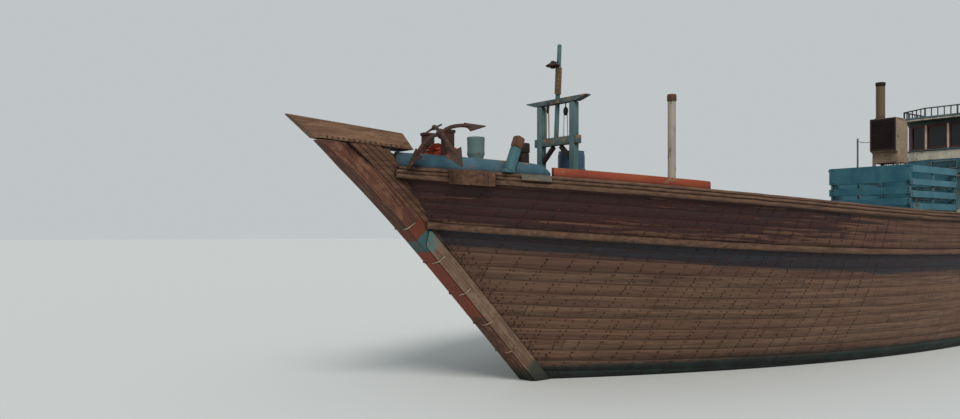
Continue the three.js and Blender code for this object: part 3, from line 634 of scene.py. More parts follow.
GRAIN, BOARDS, EDGES, CHIPS, RUST, PAINTED_SHADE_AND_GRIME = (
    build() for build in (build_grain, build_boards, build_edges, build_chips, build_rust, build_painted_shade_and_grime))
print("node groups", len(bpy.data.node_groups))


# %% [markdown]
# ### The materials themselves
# A start_material call gives an empty material with its Principled shader and the object's own coordinates.
# Bare timber, painted timber and iron are then three recipes, called with their colours and the way their grain
# runs.

# %% Recipes for timber, paint and iron
ALONG = {"X": (0.5, 9.0, 9.0), "Y": (9.0, 0.5, 9.0), "Z": (9.0, 9.0, 0.5)}


def start_material(name, roughness=0.85, metallic=0.0):
    material = bpy.data.materials.new(name)
    material.use_nodes = True
    tree = material.node_tree
    shader = tree.nodes["Principled BSDF"]
    shader.inputs["Roughness"].default_value = roughness
    shader.inputs["Metallic"].default_value = metallic
    shader.inputs["Specular IOR Level"].default_value = 0.35
    place = tree.nodes.new("ShaderNodeTexCoord").outputs["Object"]
    return material, tree, shader, place


def dress(tree, shader, colour, height, depth, reach=0.35):
    """Puts painted shade and grime over the colour, from ambient occlusion, and the height into the normal."""
    shaded_and_grimy = use_group(tree, PAINTED_SHADE_AND_GRIME, Color=colour, Reach=reach, Amount=1.0)[0]
    tree.links.new(shaded_and_grimy, shader.inputs["Base Color"])
    bump = add_node(tree, "ShaderNodeBump", {"Height": height, "Distance": depth, "Strength": 0.8})
    tree.links.new(bump.outputs[0], shader.inputs["Normal"])


def wood_colour(tree, place, light, dark, along):
    drawn = stretched(tree, place, ALONG[along])
    tone, fibre = use_group(tree, GRAIN, Vector=drawn, Fineness=9.0)[:2]
    patches = band(tree, noise(tree, place, 0.9, 4, 0.6), 0.35, 0.65)
    wood = blend(tree, tone, dark, light)
    wood = blend(tree, times(tree, fibre, 0.45), wood, tuple(value * 0.45 for value in dark))
    wood = blend(tree, times(tree, patches, 0.35), wood, tuple(value * 0.62 for value in light))
    return wood, tone, fibre


def bare_timber(name, light, dark, along="X", edge_light=None, depth=0.006):
    material, tree, shader, place = start_material(name, 0.88)
    wood, tone, fibre = wood_colour(tree, place, light, dark, along)
    if edge_light:
        edge = use_group(tree, EDGES, Radius=0.03)[0]
        wood = blend(tree, times(tree, edge, band(tree, tone, 0, 1, 0.3, 0.8)), wood, edge_light)
    height = minus(tree, tone, fibre)
    dress(tree, shader, wood, height, depth)
    return material


def painted(name, paint, under, along="X", loss=0.35, faded=None, scale=2.4):
    """Paint over timber: faded in patches, flaked to the wood, and more so on the arrises."""
    material, tree, shader, place = start_material(name, 0.72)
    wood, tone, fibre = wood_colour(tree, place, under, tuple(value * 0.5 for value in under), along)
    faded = faded or tuple(min(value * 1.35 + 0.03, 1) for value in paint)
    chalk = band(tree, noise(tree, place, 1.7, 6, 0.62), 0.35, 0.68)
    coat = blend(tree, chalk, paint, faded)
    runs = band(tree, noise(tree, stretched(tree, place, (7.0, 7.0, 0.8)), 1.0, 4, 0.6), 0.5, 0.8)
    coat = blend(tree, times(tree, runs, 0.4), coat, tuple(value * 0.5 for value in paint))
    edge = use_group(tree, EDGES, Radius=0.02)[0]
    mask, height = use_group(tree, CHIPS, Vector=stretched(tree, place, tuple(v ** 0.4 for v in ALONG[along])),
                             Loss=loss, Edge=edge, Scale=scale)[:2]
    colour = blend(tree, mask, wood, coat)
    lift = plus(tree, times(tree, height, 0.6), times(tree, fibre, -0.25))
    tree.links.new(band(tree, mask, 0, 1, 0.9, 0.62), shader.inputs["Roughness"])
    dress(tree, shader, colour, lift, 0.004)
    return material


def iron(name, paint=None, loss=0.6, metallic=0.35, roughness=0.8):
    """Rusted iron, with what is left of a coat of paint where one is named."""
    material, tree, shader, place = start_material(name, roughness, metallic)
    colour, height = use_group(tree, RUST, Vector=place)[:2]
    if paint:
        mask = use_group(tree, CHIPS, Vector=place, Loss=loss, Edge=use_group(tree, EDGES, Radius=0.02)[0],
                         Scale=7.0)[0]
        colour = blend(tree, mask, colour, paint)
    dress(tree, shader, colour, height, 0.004, 0.2)
    return material


WOOD_TAN = srgb(150, 122, 96)
FINISH = {
    "rail": bare_timber("rail_timber", srgb(120, 90, 70), srgb(70, 48, 38), edge_light=srgb(156, 126, 100)),
    "cap_board": bare_timber("cap_board_timber", srgb(142, 110, 86), srgb(96, 70, 54)),
    "deck": bare_timber("deck_timber", srgb(156, 136, 110), srgb(110, 90, 70)),
    "brown": bare_timber("brown_timber", srgb(116, 82, 62), srgb(64, 42, 32)),
    "brown_upright": bare_timber("brown_upright_timber", srgb(116, 80, 60), srgb(62, 40, 30), "Z"),
    "teal": painted("teal_paint", srgb(32, 84, 100), WOOD_TAN, loss=0.3),
    "teal_upright": painted("teal_upright_paint", srgb(62, 98, 104), WOOD_TAN, "Z", loss=0.34),
    "maroon": painted("maroon_paint", srgb(70, 28, 28), WOOD_TAN, loss=0.3),
    "maroon_upright": painted("maroon_upright_paint", srgb(112, 48, 40), WOOD_TAN, "Z", loss=0.28),
    "white": painted("white_paint", srgb(196, 192, 180), WOOD_TAN, "Z", loss=0.26),
    "roof": painted("roof_paint", srgb(60, 76, 80), WOOD_TAN, loss=0.26),
    "rust": iron("rusted_iron"),
    "dark_iron": iron("dark_iron", srgb(38, 34, 34), loss=0.35),
    "brown_iron": iron("brown_iron", srgb(72, 52, 42), loss=0.3, metallic=0.1),
    "bronze": iron("sea_bronze", srgb(120, 98, 58), loss=0.3, metallic=0.8, roughness=0.5),
}


def bulwark_finish():
    """Worn paint inside the bulwarks, all that shows of the hull's solid, and dark wood under them."""
    material, tree, shader, place = start_material("bulwark_paint", 0.75)
    height = add_node(tree, "ShaderNodeSeparateXYZ", {0: place}).outputs[2]
    wood, tone, fibre = wood_colour(tree, place, srgb(126, 98, 74), srgb(72, 54, 40), "X")
    chips = use_group(tree, CHIPS, Vector=place, Loss=0.5, Edge=0.0, Scale=2.4)[0]
    painted_wood = blend(tree, chips, wood, srgb(90, 120, 124))
    colour = blend(tree, band(tree, height, 2.6, 2.3), painted_wood, srgb(40, 34, 30))
    dress(tree, shader, colour, minus(tree, tone, fibre), 0.004)
    return material


FINISH["inner"] = bulwark_finish()
# The record keeps finishes in slots. This is the slot of each finish, for pieces that don't name another.
SLOTS = {
    "hull_timber": "side brown brown_upright tarred rope inner",
    "pale_timber": "rail cap_board cheek",
    "rusty_iron": "rust dark_iron brown_iron pale_iron grapnel_iron dark_red_iron red_barrel stack soot",
    "teal_paint": "teal teal_upright dark_teal deep_teal weathered_teal bitt grey_post pen pen_pale pen_post",
    "maroon_paint": "maroon maroon_upright orange_board housing soot_red",
    "cream_paint": "white mullion varnish jamb dark_frieze cream_band lattice glass",
    "pale_blue_paint": "strake sheathing bollard", "stem_timber": "stem", "deck_timber": "deck",
    "roof_paint": "roof", "blue_plastic": "blue_plastic", "bronze": "bronze",
}
SLOT_OF = {look: slot for slot, looks in SLOTS.items() for look in looks.split()}
print("finishes", len(FINISH))

# %% [markdown]
# ### The side of the hull
# Above the lower rub rail the side was painted a dark red that has gone brown and bare in places. Just under
# that rail runs a dark blue-green band, darkened nearly to black and widened aft as painted shade under the
# rail, and for a metre below it the planks are darkened towards a red brown, also painted shade. Below that the
# planks are bare and oiled, and along the waterline they are green. The finish reads the two UV maps of the
# planking: one numbers the strakes and runs along them, the other gives the height above the lower rail and
# above the waterline. Nails bleed dark streaks in rows, two to a strake on every frame.

# %% The finish of the side
FRAME_SPACING = 0.42
PLANK_LENGTH = 6.3


def uv_parts(tree, name):
    layer = add_node(tree, "ShaderNodeUVMap", uv_map=name).outputs[0]
    split = add_node(tree, "ShaderNodeSeparateXYZ", {0: layer})
    return split.outputs[0], split.outputs[1]


def nail_bleed(tree, along, strake):
    """Dark stains about the nails: two to a strake, one column to a frame, drawn out a little downwards."""
    column = from_middle(tree, plus(tree, maths(tree, "DIVIDE", along, FRAME_SPACING), 0.5))
    row = from_middle(tree, times(tree, strake, 2.0))
    sideways = times(tree, column, FRAME_SPACING / 0.03)
    upward = times(tree, row, 0.11 / 0.03)
    reach = maths(tree, "SQRT", plus(tree, maths(tree, "POWER", sideways, 2.0),
                                      maths(tree, "POWER", upward, 2.0)))
    return band(tree, reach, 1.0, 0.25)


def side_finish():
    material, tree, shader, place = start_material("side_planking", 0.8)
    along, strake = uv_parts(tree, "planks")
    above_rail, above_water = uv_parts(tree, "heights")
    seam, tone = use_group(tree, BOARDS, Across=strake, Along=along, Length=PLANK_LENGTH, Seam=0.035)[:2]
    flow = add_node(tree, "ShaderNodeCombineXYZ", {0: times(tree, along, 0.45),
                                                   1: times(tree, strake, 2.1),
                                                   2: times(tree, tone, 9.0)}).outputs[0]
    grain, fibre = use_group(tree, GRAIN, Vector=flow, Fineness=7.0)[:2]
    ragged = noise(tree, flow, 1.3, 7, 0.66)
    drift = noise(tree, place, 0.55, 5, 0.6)
    wood = blend(tree, grain, srgb(84, 60, 47), srgb(128, 98, 77))
    wood = blend(tree, times(tree, fibre, 0.4), wood, srgb(56, 36, 28))
    wood = blend(tree, band(tree, tone, 0.0, 1.0, 0.0, 0.4), wood, srgb(104, 70, 54))
    wood = blend(tree, band(tree, drift, 0.5, 0.72, 0.0, 0.5), wood, srgb(84, 54, 44))
    red = blend(tree, band(tree, ragged, 0.4, 0.66), srgb(42, 19, 18), srgb(68, 31, 25))
    red = blend(tree, band(tree, noise(tree, flow, 3.1, 6, 0.7), 0.55, 0.68, 0.0, 0.8), red, srgb(34, 18, 20))
    worn = plus(tree, band(tree, along, 11.0, -2.0, 0.24, 0.56),
                 band(tree, above_rail, 0.35, 0.0, 0.0, 0.12))
    bare = band(tree, plus(tree, times(tree, ragged, 0.8), times(tree, grain, 0.2)),
                minus(tree, 0.86, worn), minus(tree, 0.9, worn))
    red = blend(tree, bare, red, blend(tree, grain, srgb(82, 56, 42), srgb(118, 84, 62)))
    # The blue-green band under the lower rail: its paint is darkened nearly to black, and it widens aft, as
    # painted shade under the rail
    navy_and_painted_shade = blend(tree, band(tree, ragged, 0.42, 0.66), srgb(15, 22, 29), srgb(28, 54, 64))
    lift = times(tree, minus(tree, ragged, 0.5), 0.34)
    level = plus(tree, above_rail, lift)
    below = blend(tree, band(tree, minus(tree, level, band(tree, along, 12.0, 2.0, 0.0, -0.14)),
                             -0.46, -0.36), wood, navy_and_painted_shade)
    colour = blend(tree, band(tree, above_rail, -0.07, -0.05), below, red)
    # Painted shade: the bare planks are darkened towards a red brown for a metre under the lower rail
    colour = blend(tree, times(tree, band(tree, level, -1.0, -0.4), 0.35), colour, srgb(60, 34, 34))
    wet = plus(tree, above_water, times(tree, lift, 0.5))
    colour = blend(tree, band(tree, wet, 0.34, 0.2), colour, srgb(36, 62, 58))
    colour = blend(tree, band(tree, wet, 0.1, 0.02), colour, srgb(22, 30, 30))
    spread = times(tree, band(tree, ragged, 0.35, 0.6, 0.3, 0.9), band(tree, along, 2.0, 8.0, 0.08, 1.0))
    spots = times(tree, nail_bleed(tree, along, strake), spread)
    colour = blend(tree, spots, colour, srgb(26, 18, 18))
    colour = blend(tree, times(tree, seam, 0.55), colour, srgb(34, 26, 24))
    height = minus(tree, minus(tree, times(tree, grain, 0.6), seam), fibre)
    tree.links.new(band(tree, ragged, 0.3, 0.7, 0.62, 0.9), shader.inputs["Roughness"])
    # The side's painted shade reaches further, to darken the planks under the rails
    dress(tree, shader, colour, height, 0.008, 0.6)
    return material


FINISH["side"] = side_finish()
for name, side in SIDES:
    fit(f"hull_planking_{name}", planking[name], "side", degrees=60)

# %% [markdown]
# ## Shapes a boatbuilder uses again and again
# A squared timber is a cube primitive, set to its size and bevelled in edit mode, so that its arrises catch
# light. A rod is a cylinder primitive between two points. A turned piece starts as one point, which is extruded
# along its outline and spun about its axis. What repeats is modelled once, copied with its own mesh, and set in
# place.

# %% Timbers, rods and turned pieces
def bevel_all(piece, width, segments=2):
    with editing(piece, "EDGE"):
        bpy.ops.mesh.bevel(offset=width, segments=segments, affect="EDGES")
    return piece


def timber(low, high, arris=0.008, segments=1):
    """A squared timber between its lowest and highest corner."""
    low, high = Vector(low), Vector(high)
    deselect()
    bpy.ops.mesh.primitive_cube_add(size=1, location=(low + high) / 2)
    piece = bpy.context.active_object
    piece.scale = high - low
    settle(piece)
    return bevel_all(piece, arris, segments) if arris else piece


def sawn(size, arris=0.008, segments=1):
    """A timber of a length, breadth and height, centred on the origin, to be placed by a matrix."""
    half = Vector(size) / 2
    return timber(-half, half, arris, segments)


def stud(x, y, half_x, half_y, low, high, arris=0.008, segments=1):
    """A squared timber about a place in plan, from one height to another."""
    return timber((x - half_x, y - half_y, low), (x + half_x, y + half_y, high), arris, segments)


def rod(start, end, radius, sides=12, arris=0.0):
    start, end = Vector(start), Vector(end)
    along = end - start
    deselect()
    bpy.ops.mesh.primitive_cylinder_add(vertices=sides, radius=radius, depth=along.length,
                                        location=(start + end) / 2)
    piece = bpy.context.active_object
    piece.rotation_euler = along.to_track_quat("Z", "X").to_euler()
    settle(piece)
    if arris:
        pick(piece, "FACE", lambda at, normal: abs(normal.dot(along.normalized())) > 0.9)
        bpy.ops.mesh.inset(thickness=arris)
        bpy.ops.object.mode_set(mode="OBJECT")
        for face in piece.data.polygons:
            turned_to = face.normal.dot(along.normalized())
            if abs(turned_to) > 0.9 and face.select:
                for index in face.vertices:
                    piece.data.vertices[index].co += along.normalized() * math.copysign(arris * 0.8, turned_to)
    return piece


def turned(outline, x, y, z=0.0, steps=24, axis=Z_AXIS):
    """Spins an outline of (radius, height) points, which starts and ends on the axis or closes on itself."""
    deselect()
    bpy.ops.mesh.primitive_plane_add(size=0.01)
    piece = bpy.context.active_object
    with editing(piece):
        bpy.ops.mesh.merge(type="CENTER")
        radius, height = outline[0]
        bpy.ops.transform.translate(value=(radius, 0, height))
        for next_radius, next_height in outline[1:]:
            step = (next_radius - radius, 0, next_height - height)
            bpy.ops.mesh.extrude_region_move(TRANSFORM_OT_translate={"value": step})
            radius, height = next_radius, next_height
        bpy.ops.mesh.select_all(action="SELECT")
        bpy.ops.mesh.spin(steps=steps, angle=math.tau, center=(0, 0, 0), axis=(0, 0, 1))
    tidy_mesh(piece)
    turn = Z_AXIS.rotation_difference(Vector(axis)).to_matrix().to_4x4()
    piece.data.transform(Matrix.Translation((x, y, z)) @ turn)
    return piece


def copies(template, places):
    """A copy of the template for each matrix, each with its own mesh. The template itself goes."""
    made = []
    for place in places:
        mesh = template.data.copy()
        mesh.transform(place)
        if place.determinant() < 0:
            mesh.flip_normals()
        made.append(put(template.name, mesh))
    bpy.data.objects.remove(template)
    return made


def between(start, end, up=Z_AXIS):
    """The matrix that lays the X axis from start to end, centred between them."""
    start, end = Vector(start), Vector(end)
    along = (end - start).normalized()
    across = Vector(up).cross(along).normalized()
    top = along.cross(across)
    frame_of = Matrix((along, across, top)).transposed().to_4x4()
    return Matrix.Translation((start + end) / 2) @ frame_of


def plank(start, end, breadth, thickness, arris=0.006, up=Z_AXIS):
    """A board from point to point: its breadth lies level across it, its thickness along up."""
    length = (Vector(end) - Vector(start)).length
    piece = sawn((length, breadth, thickness), arris)
    piece.data.transform(between(start, end, up))
    return piece


def scatter(name, template, points, normals):
    """One mesh of many small copies of a template, each at a point and standing along its normal."""
    flat = np.zeros(len(template.data.vertices) * 3)
    template.data.vertices.foreach_get("co", flat)
    shape = flat.reshape(-1, 3)
    faces = [tuple(face.vertices) for face in template.data.polygons]
    vertices, polygons = [], []
    for number, (point, normal) in enumerate(zip(points, normals)):
        turn = np.array(Z_AXIS.rotation_difference(Vector(normal)).to_matrix())
        vertices.append(shape @ turn.T + point)
        start = number * len(shape)
        polygons += [tuple(index + start for index in face) for face in faces]
    mesh = bpy.data.meshes.new(name)
    mesh.from_pydata(np.concatenate(vertices).tolist(), [], polygons)
    bpy.data.objects.remove(template)
    return put(name, mesh)


def run_of(points, radius, sides=6, closed=False):
    """A rope, wire or round bar along a run of points, as a mesh."""
    line = bpy.data.curves.new("run", "CURVE")
    line.dimensions = "3D"
    line.bevel_depth = radius
    line.bevel_resolution = max(sides // 2 - 2, 0)
    line.use_fill_caps = True
    spline = line.splines.new("POLY")
    spline.points.add(len(points) - 1)
    for spot, point in zip(spline.points, points):
        spot.co = (*point, 1)
    spline.use_cyclic_u = closed
    only(put("run", line))
    bpy.ops.object.convert(target="MESH")
    return bpy.context.active_object


def close_ends(piece):
    with editing(piece):
        bpy.ops.mesh.remove_doubles(threshold=1e-5)
        bpy.ops.mesh.fill_holes(sides=0)
        bpy.ops.mesh.select_all(action="SELECT")
        bpy.ops.mesh.normals_make_consistent(inside=False)
    return piece


def soften(node, arris=0.01, segments=2, limit=25):
    """A copy of one of the frame's solids, its flats made whole and its arrises rounded."""
    copy = put(node + "_dressed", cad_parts[node].data.copy())
    tidy_mesh(copy, 2e-4)
    with editing(copy):
        bpy.ops.mesh.dissolve_limited(angle_limit=math.radians(2))
    if arris:
        modifier = copy.modifiers.new("arris", "BEVEL")
        modifier.width, modifier.segments = arris, segments
        modifier.limit_method, modifier.angle_limit = "ANGLE", math.radians(limit)
        modifier.use_clamp_overlap = True
        apply_all(copy)
    return copy


# %% [markdown]
# ## Nails
# Iron nails with broad heads hold every plank to every frame, and they show as dark dots in rows that follow
# the frames. One head is a six-sided cylinder whose top is drawn in to a low dome. It is copied to three places
# on each strake at each frame, and a few are left out, where a head has been filled over.

# %% Drive the nails
NAIL_RADIUS, NAIL_LOW_STRAKE, NAILS_MISSED, FORE_NAILS_X = 0.017, 17, 0.1, 3.5


def nail_head(radius=NAIL_RADIUS, height=0.012):
    deselect()
    bpy.ops.mesh.primitive_cylinder_add(vertices=6, radius=radius, depth=height, location=(0, 0, height / 2))
    head = settle(bpy.context.active_object)
    pick(head, "FACE", lambda place, normal: normal.z > 0.9)
    bpy.ops.mesh.inset(thickness=radius * 0.4)
    bpy.ops.transform.translate(value=(0, 0, height * 0.35))
    bpy.ops.mesh.select_all(action="DESELECT")
    bpy.ops.object.mode_set(mode="OBJECT")
    return head


def frame_lean(x, strake):
    """Towards the bow the frames lean aft as they rise."""
    return 0.055 * np.clip((x - 2) / 8, 0, 1) * (strake - 20)


def nail_places(side):
    along, strakes = [], []
    for station in np.arange(-15.2, 14.8, FRAME_SPACING):
        for strake in range(NAIL_LOW_STRAKE, STRAKES):
            for share in (0.2, 0.5, 0.8):
                if chance.random() > NAILS_MISSED:
                    along.append(round(station / FRAME_SPACING) * FRAME_SPACING + chance.uniform(-0.015, 0.015))
                    strakes.append(strake + share + chance.uniform(-0.06, 0.06))
    x, strake = np.array(along), np.array(strakes)
    x = x - frame_lean(x, strake)
    points = on_side(x, strake)
    fits = (x < plank_end_x(points[:, 2]) - 0.06) & (x > stern_x(points[:, 2]) + 0.06)
    x, strake, points = x[fits], strake[fits], points[fits]
    normals = facing(on_side, x, strake, 0.01, 0.05)
    points = points + normals * SKIN
    return points * (1, side, 1), normals * (1, side, 1)


def rabbet_nails(side):
    """Close rows of nails where the planks end in the stem."""
    heights = np.arange(-0.2, 3.9, 0.085)
    rows = []
    for back in (0.07, 0.16, 0.27):
        z = heights + np.array([chance.uniform(-0.02, 0.02) for _ in heights])
        keep = np.array([chance.random() > 0.25 for _ in heights])
        rows.append(np.stack([plank_end_x(z) - back, z], axis=-1)[keep])
    x, z = np.concatenate(rows).T
    y = half_breadth(x, z)
    step = 0.01
    along = np.stack([np.full_like(x, step), half_breadth(x + step, z) - y, np.zeros_like(x)], axis=-1)
    up = np.stack([np.zeros_like(x), half_breadth(x, z + step) - y, np.full_like(x, step)], axis=-1)
    normals = np.cross(up, along)
    normals /= np.linalg.norm(normals, axis=-1, keepdims=True)
    points = np.stack([x, y, z], axis=-1) + normals * SKIN
    return points * (1, side, 1), normals * (1, side, 1)


for name, side in SIDES:
    points, normals = (np.concatenate(rows) for rows in zip(nail_places(side), rabbet_nails(side)))
    for part, here in (("fore", points[:, 0] > FORE_NAILS_X), ("aft", points[:, 0] <= FORE_NAILS_X)):
        size, look = ((0.015, 0.009), "dark_iron") if part == "fore" else ((0.01, 0.006), "brown_iron")
        nails = scatter(f"hull_nails_{part}_{name}", nail_head(*size), points[here], normals[here])
        fit(nails.name, nails, look)

# %% [markdown]
# ## Rub rails and cap rail
# Heavy rails run the length of each side and take the knocks when the boat lies alongside: one at the sheer
# under a flat cap, one where the red paint ends. Their outer faces are rounded, and the upper one is worked in
# two rolls with a groove between. Each is a grid laid along the hull, one row of points to each corner of its
# section.

# %% Lay the rails
UPPER_RAIL_X, LOWER_RAIL_X, CAP_X = (-15.7, 14.02), (-15.3, 13.36), (-15.6, 13.95)
RAIL_STEPS = 84
# Sections as (outward, upward) from the hull's side at the rail's height, in metres
UPPER_SECTION = [(-0.05, 0.0), (0.07, 0.0), (0.088, -0.014), (0.092, -0.034), (0.086, -0.054), (0.064, -0.066),
                 (0.064, -0.074), (0.088, -0.084), (0.096, -0.105), (0.09, -0.13), (0.072, -0.15),
                 (-0.05, -0.15)]
LOWER_SECTION = [(-0.05, 0.0), (0.062, 0.0), (0.08, -0.014), (0.09, -0.04), (0.092, -0.07), (0.084, -0.1),
                 (0.066, -0.122), (0.05, -0.13), (-0.05, -0.13)]
CAP_SECTION = [(-0.2, 0.003), (0.03, 0.003), (0.044, 0.012), (0.048, 0.03), (0.044, 0.05), (0.03, 0.062),
               (-0.19, 0.064), (-0.2, 0.054)]


def lay_rail(side, span, height_at, section, side_height, wander=0.004):
    ring = section + section[:1]
    rows = len(ring) - 1
    out, up = np.array(ring).T
    seed = np.random.default_rng(SEED)
    wobble = seed.normal(0, wander, (RAIL_STEPS + 1, 2))

    def place(share, around):
        x = span[0] + (span[1] - span[0]) * share
        row = np.rint(around * rows).astype(int)
        column = np.rint(share * RAIL_STEPS).astype(int)
        z = height_at(x)
        y = half_breadth(x, z + side_height)
        outward = np.where(out[row] > 0, out[row] + wobble[column, 0], out[row])
        return np.stack([x, side * (y + outward), z + up[row] + wobble[column, 1] * 0.6], axis=-1)

    return close_ends(lay_grid(RAIL_STEPS, rows, place))


for name, side in SIDES:
    fit(f"upper_rail_{name}", lay_rail(side, UPPER_RAIL_X, rail_z, UPPER_SECTION, -0.075), "rail",
        stands_for=f"upper_rub_rail_{name}", degrees=50)
    fit(f"lower_rail_{name}", lay_rail(side, LOWER_RAIL_X, mid_rail_z, LOWER_SECTION, -0.065), "rail",
        stands_for=f"mid_rub_rail_{name}", degrees=50)
    fit(f"rail_cap_{name}", lay_rail(side, CAP_X, rail_z, CAP_SECTION, 0.0, 0.003), "rail",
        stands_for=f"cap_rail_{name}", degrees=50)

# %% [markdown]
# ## The stem
# The stem is the boat's nose: one great raked timber, oiled red on its face, with pale cheek boards spiked to
# its sides, a few boards filling the hollow between it and the rail, and a broad cap board above. Iron dogs,
# which are staples as long as a hand, hold stem and cheeks together. The boards are grids laid between curves
# of the stem.

# %% Shape the stem, its cheeks and its boards
STEM_HALF, CHEEK_SET_BACK, CHEEK_THICK, CHEEK_POINT = 0.21, 0.07, 0.04, 2.72
STEM_HEIGHTS, CHEEK_HEIGHTS = (-1.95, 4.53), (-1.5, 3.0)
HEAD_START, HEAD_TOP, HEAD_SHARE = 4.1, 4.56, 0.5
STEM_STEPS = 60
KNEE_BOARD, KNEE_SPAN = 0.15, (2.45, 4.45)
CAP_AFT, CAP_UNDER, CAP_RISE, CAP_LONG = 13.64, 4.446, 0.11, 1.87


def stem_half(z):
    """The stem is narrower towards its head."""
    return STEM_HALF * (1 - (1 - HEAD_SHARE) * max(z - HEAD_START, 0) / (HEAD_TOP - HEAD_START))


def lay_along_stem(span, steps, corners_at):
    """A timber up the stem: corners_at gives its ring of (x, y) points at each height."""
    heights = np.linspace(*span, steps + 1)
    rings = np.array([[(x, y, z) for x, y in corners_at(z)] for z in heights])
    rings = np.concatenate([rings, rings[:, :1]], axis=1)
    rows = rings.shape[1] - 1

    def place(share, around):
        return rings[np.rint(share * steps).astype(int), np.rint(around * rows).astype(int)]

    return close_ends(lay_grid(steps, rows, place))


def stem_ring(z):
    front, back, arris = float(stem_x(z)), float(stem_x(z)) - STEM_DEPTH, 0.035
    half = stem_half(z)
    return [(back, half), (back, -half), (front - arris, -half), (front - 0.01, -half + arris * 0.8),
            (front, -half + arris * 1.6), (front, half - arris * 1.6), (front - 0.01, half - arris * 0.8),
            (front - arris, half)]


def cheek_ring(side):
    def ring(z):
        back = float(stem_x(z)) - STEM_DEPTH + 0.02
        pointed = max(z - CHEEK_POINT, 0) / (CHEEK_HEIGHTS[1] - CHEEK_POINT) * 0.36
        front = float(stem_x(z)) - CHEEK_SET_BACK - pointed
        inner, outer = side * (STEM_HALF - 0.004), side * (STEM_HALF + CHEEK_THICK)
        return [(back, inner), (back, outer - side * 0.008), (back + 0.008, outer), (front - 0.012, outer),
                (front, outer - side * 0.012), (front, inner)]
    return ring


def knee_board_ring(side, number):
    def ring(z):
        front = float(stem_x(z)) - STEM_DEPTH - 0.004 - number * KNEE_BOARD
        limit = float(plank_end_x(z)) - 0.03
        back = min(max(front - KNEE_BOARD + 0.012, limit), front - 0.002)
        inner, outer = side * (min(stem_half(z), 0.205) - 0.015), side * (0.226 - 0.006 * number)
        return [(back, inner), (back, outer - side * 0.006), (back + 0.006, outer), (front - 0.006, outer),
                (front, outer - side * 0.006), (front, inner)]
    return ring


def knee_start(number):
    """The height at which the hollow behind the stem is wide enough for this board."""
    return HOLLOW_LOW + HOLLOW_RISE * max((number * KNEE_BOARD + 0.05) / HOLLOW_REACH, 0.0) ** (1 / 1.5)


def cut_under_cap(piece):
    """Takes off what stands above the slanted underside of the cap board."""
    slope = Vector((-CAP_RISE, 0, CAP_LONG)).normalized()
    with editing(piece):
        bpy.ops.mesh.bisect(plane_co=(CAP_AFT, 0, CAP_UNDER), plane_no=slope, clear_outer=True, use_fill=True)
    return piece


def stem_timber_finish(name, light, dark, pale, bands):
    """Timber with its grain up the rake, and painted bands square to it: (lowest, highest, colour) each."""
    material, tree, shader, place = start_material(name, 0.8)
    split = add_node(tree, "ShaderNodeSeparateXYZ", {0: place})
    ahead = times(tree, minus(tree, split.outputs[0], STEM_FOOT_X), STEM_RAKE)
    up = maths(tree, "DIVIDE", plus(tree, split.outputs[2], ahead), 1 + STEM_RAKE ** 2)
    slanted = add_node(tree, "ShaderNodeMapping", {"Vector": place,
                                                   "Rotation": (0, math.radians(45), 0)}).outputs[0]
    wood, tone, fibre = wood_colour(tree, slanted, light, dark, "X")
    ragged = noise(tree, place, 5.0, 6, 0.65)
    bleached = band(tree, plus(tree, ragged, times(tree, tone, 0.2)), 0.6, 0.72)
    wood = blend(tree, times(tree, bleached, 0.3), wood, pale)
    edge = use_group(tree, EDGES, Radius=0.03)[0]
    wood = blend(tree, times(tree, edge, 0.5), wood, pale)
    level = plus(tree, up, times(tree, minus(tree, ragged, 0.5), 0.12))
    for low, high, colour in bands:
        inside = times(tree, band(tree, level, low - 0.01, low + 0.01),
                       band(tree, level, high + 0.01, high - 0.01))
        worn = times(tree, inside, band(tree, ragged, 0.62, 0.52, 0.45, 0.95))
        wood = blend(tree, worn, wood, colour)
    wood = blend(tree, band(tree, level, 0.3, 0.12), wood, srgb(58, 62, 52))
    dress(tree, shader, wood, minus(tree, tone, fibre), 0.008)
    return material


STEM_RED, STEM_DARK = srgb(114, 72, 53), srgb(66, 39, 30)
FINISH["stem"] = stem_timber_finish("stem_timber", STEM_RED, STEM_DARK, srgb(150, 110, 84), (
    (1.35, 2.63, srgb(126, 60, 40)), (2.63, 2.84, srgb(50, 92, 96)), (2.84, 3.02, srgb(104, 50, 36))))
FINISH["cheek"] = stem_timber_finish("cheek_timber", srgb(132, 106, 86), srgb(86, 64, 50), srgb(152, 128, 106),
                                     ((2.58, 2.95, srgb(80, 108, 106)),))
stem_piece = cut_under_cap(lay_along_stem(STEM_HEIGHTS, STEM_STEPS, stem_ring))
fit("stem_timber", stem_piece, "stem", stands_for="stem", degrees=40)
for name, side in SIDES:
    cheek = lay_along_stem(CHEEK_HEIGHTS, STEM_STEPS, cheek_ring(side))
    fit(f"stem_cheek_board_{name}", cheek, "cheek", stands_for=f"stem_cheek_{name}", degrees=40)
    boards = [cut_under_cap(lay_along_stem((max(KNEE_SPAN[0], knee_start(n)), KNEE_SPAN[1] + 0.05), 24,
                                           knee_board_ring(side, n))) for n in range(4)]
    fit(f"stem_knee_boards_{name}", boards, "brown", slot="stem_timber", degrees=40)
fit("cap_board", soften("stemhead_cap", 0.014), "cap_board", stands_for="stemhead_cap")

# %% [markdown]
# Iron dogs hold stem and cheeks together, and a row of nails runs along the lower edge of the cap board. A dog
# is a square bar bent at both ends, so it is one run of points with a square section. The nails reuse the
# hull's head.

# %% Dogs and cap nails
DOG_HEIGHTS = (3.03, 2.41, 1.8, 1.2, 0.62)
FINISH["pale_iron"] = iron("pale_iron", srgb(148, 136, 120), loss=0.3, metallic=0.1)
CAP_NAILS = 15


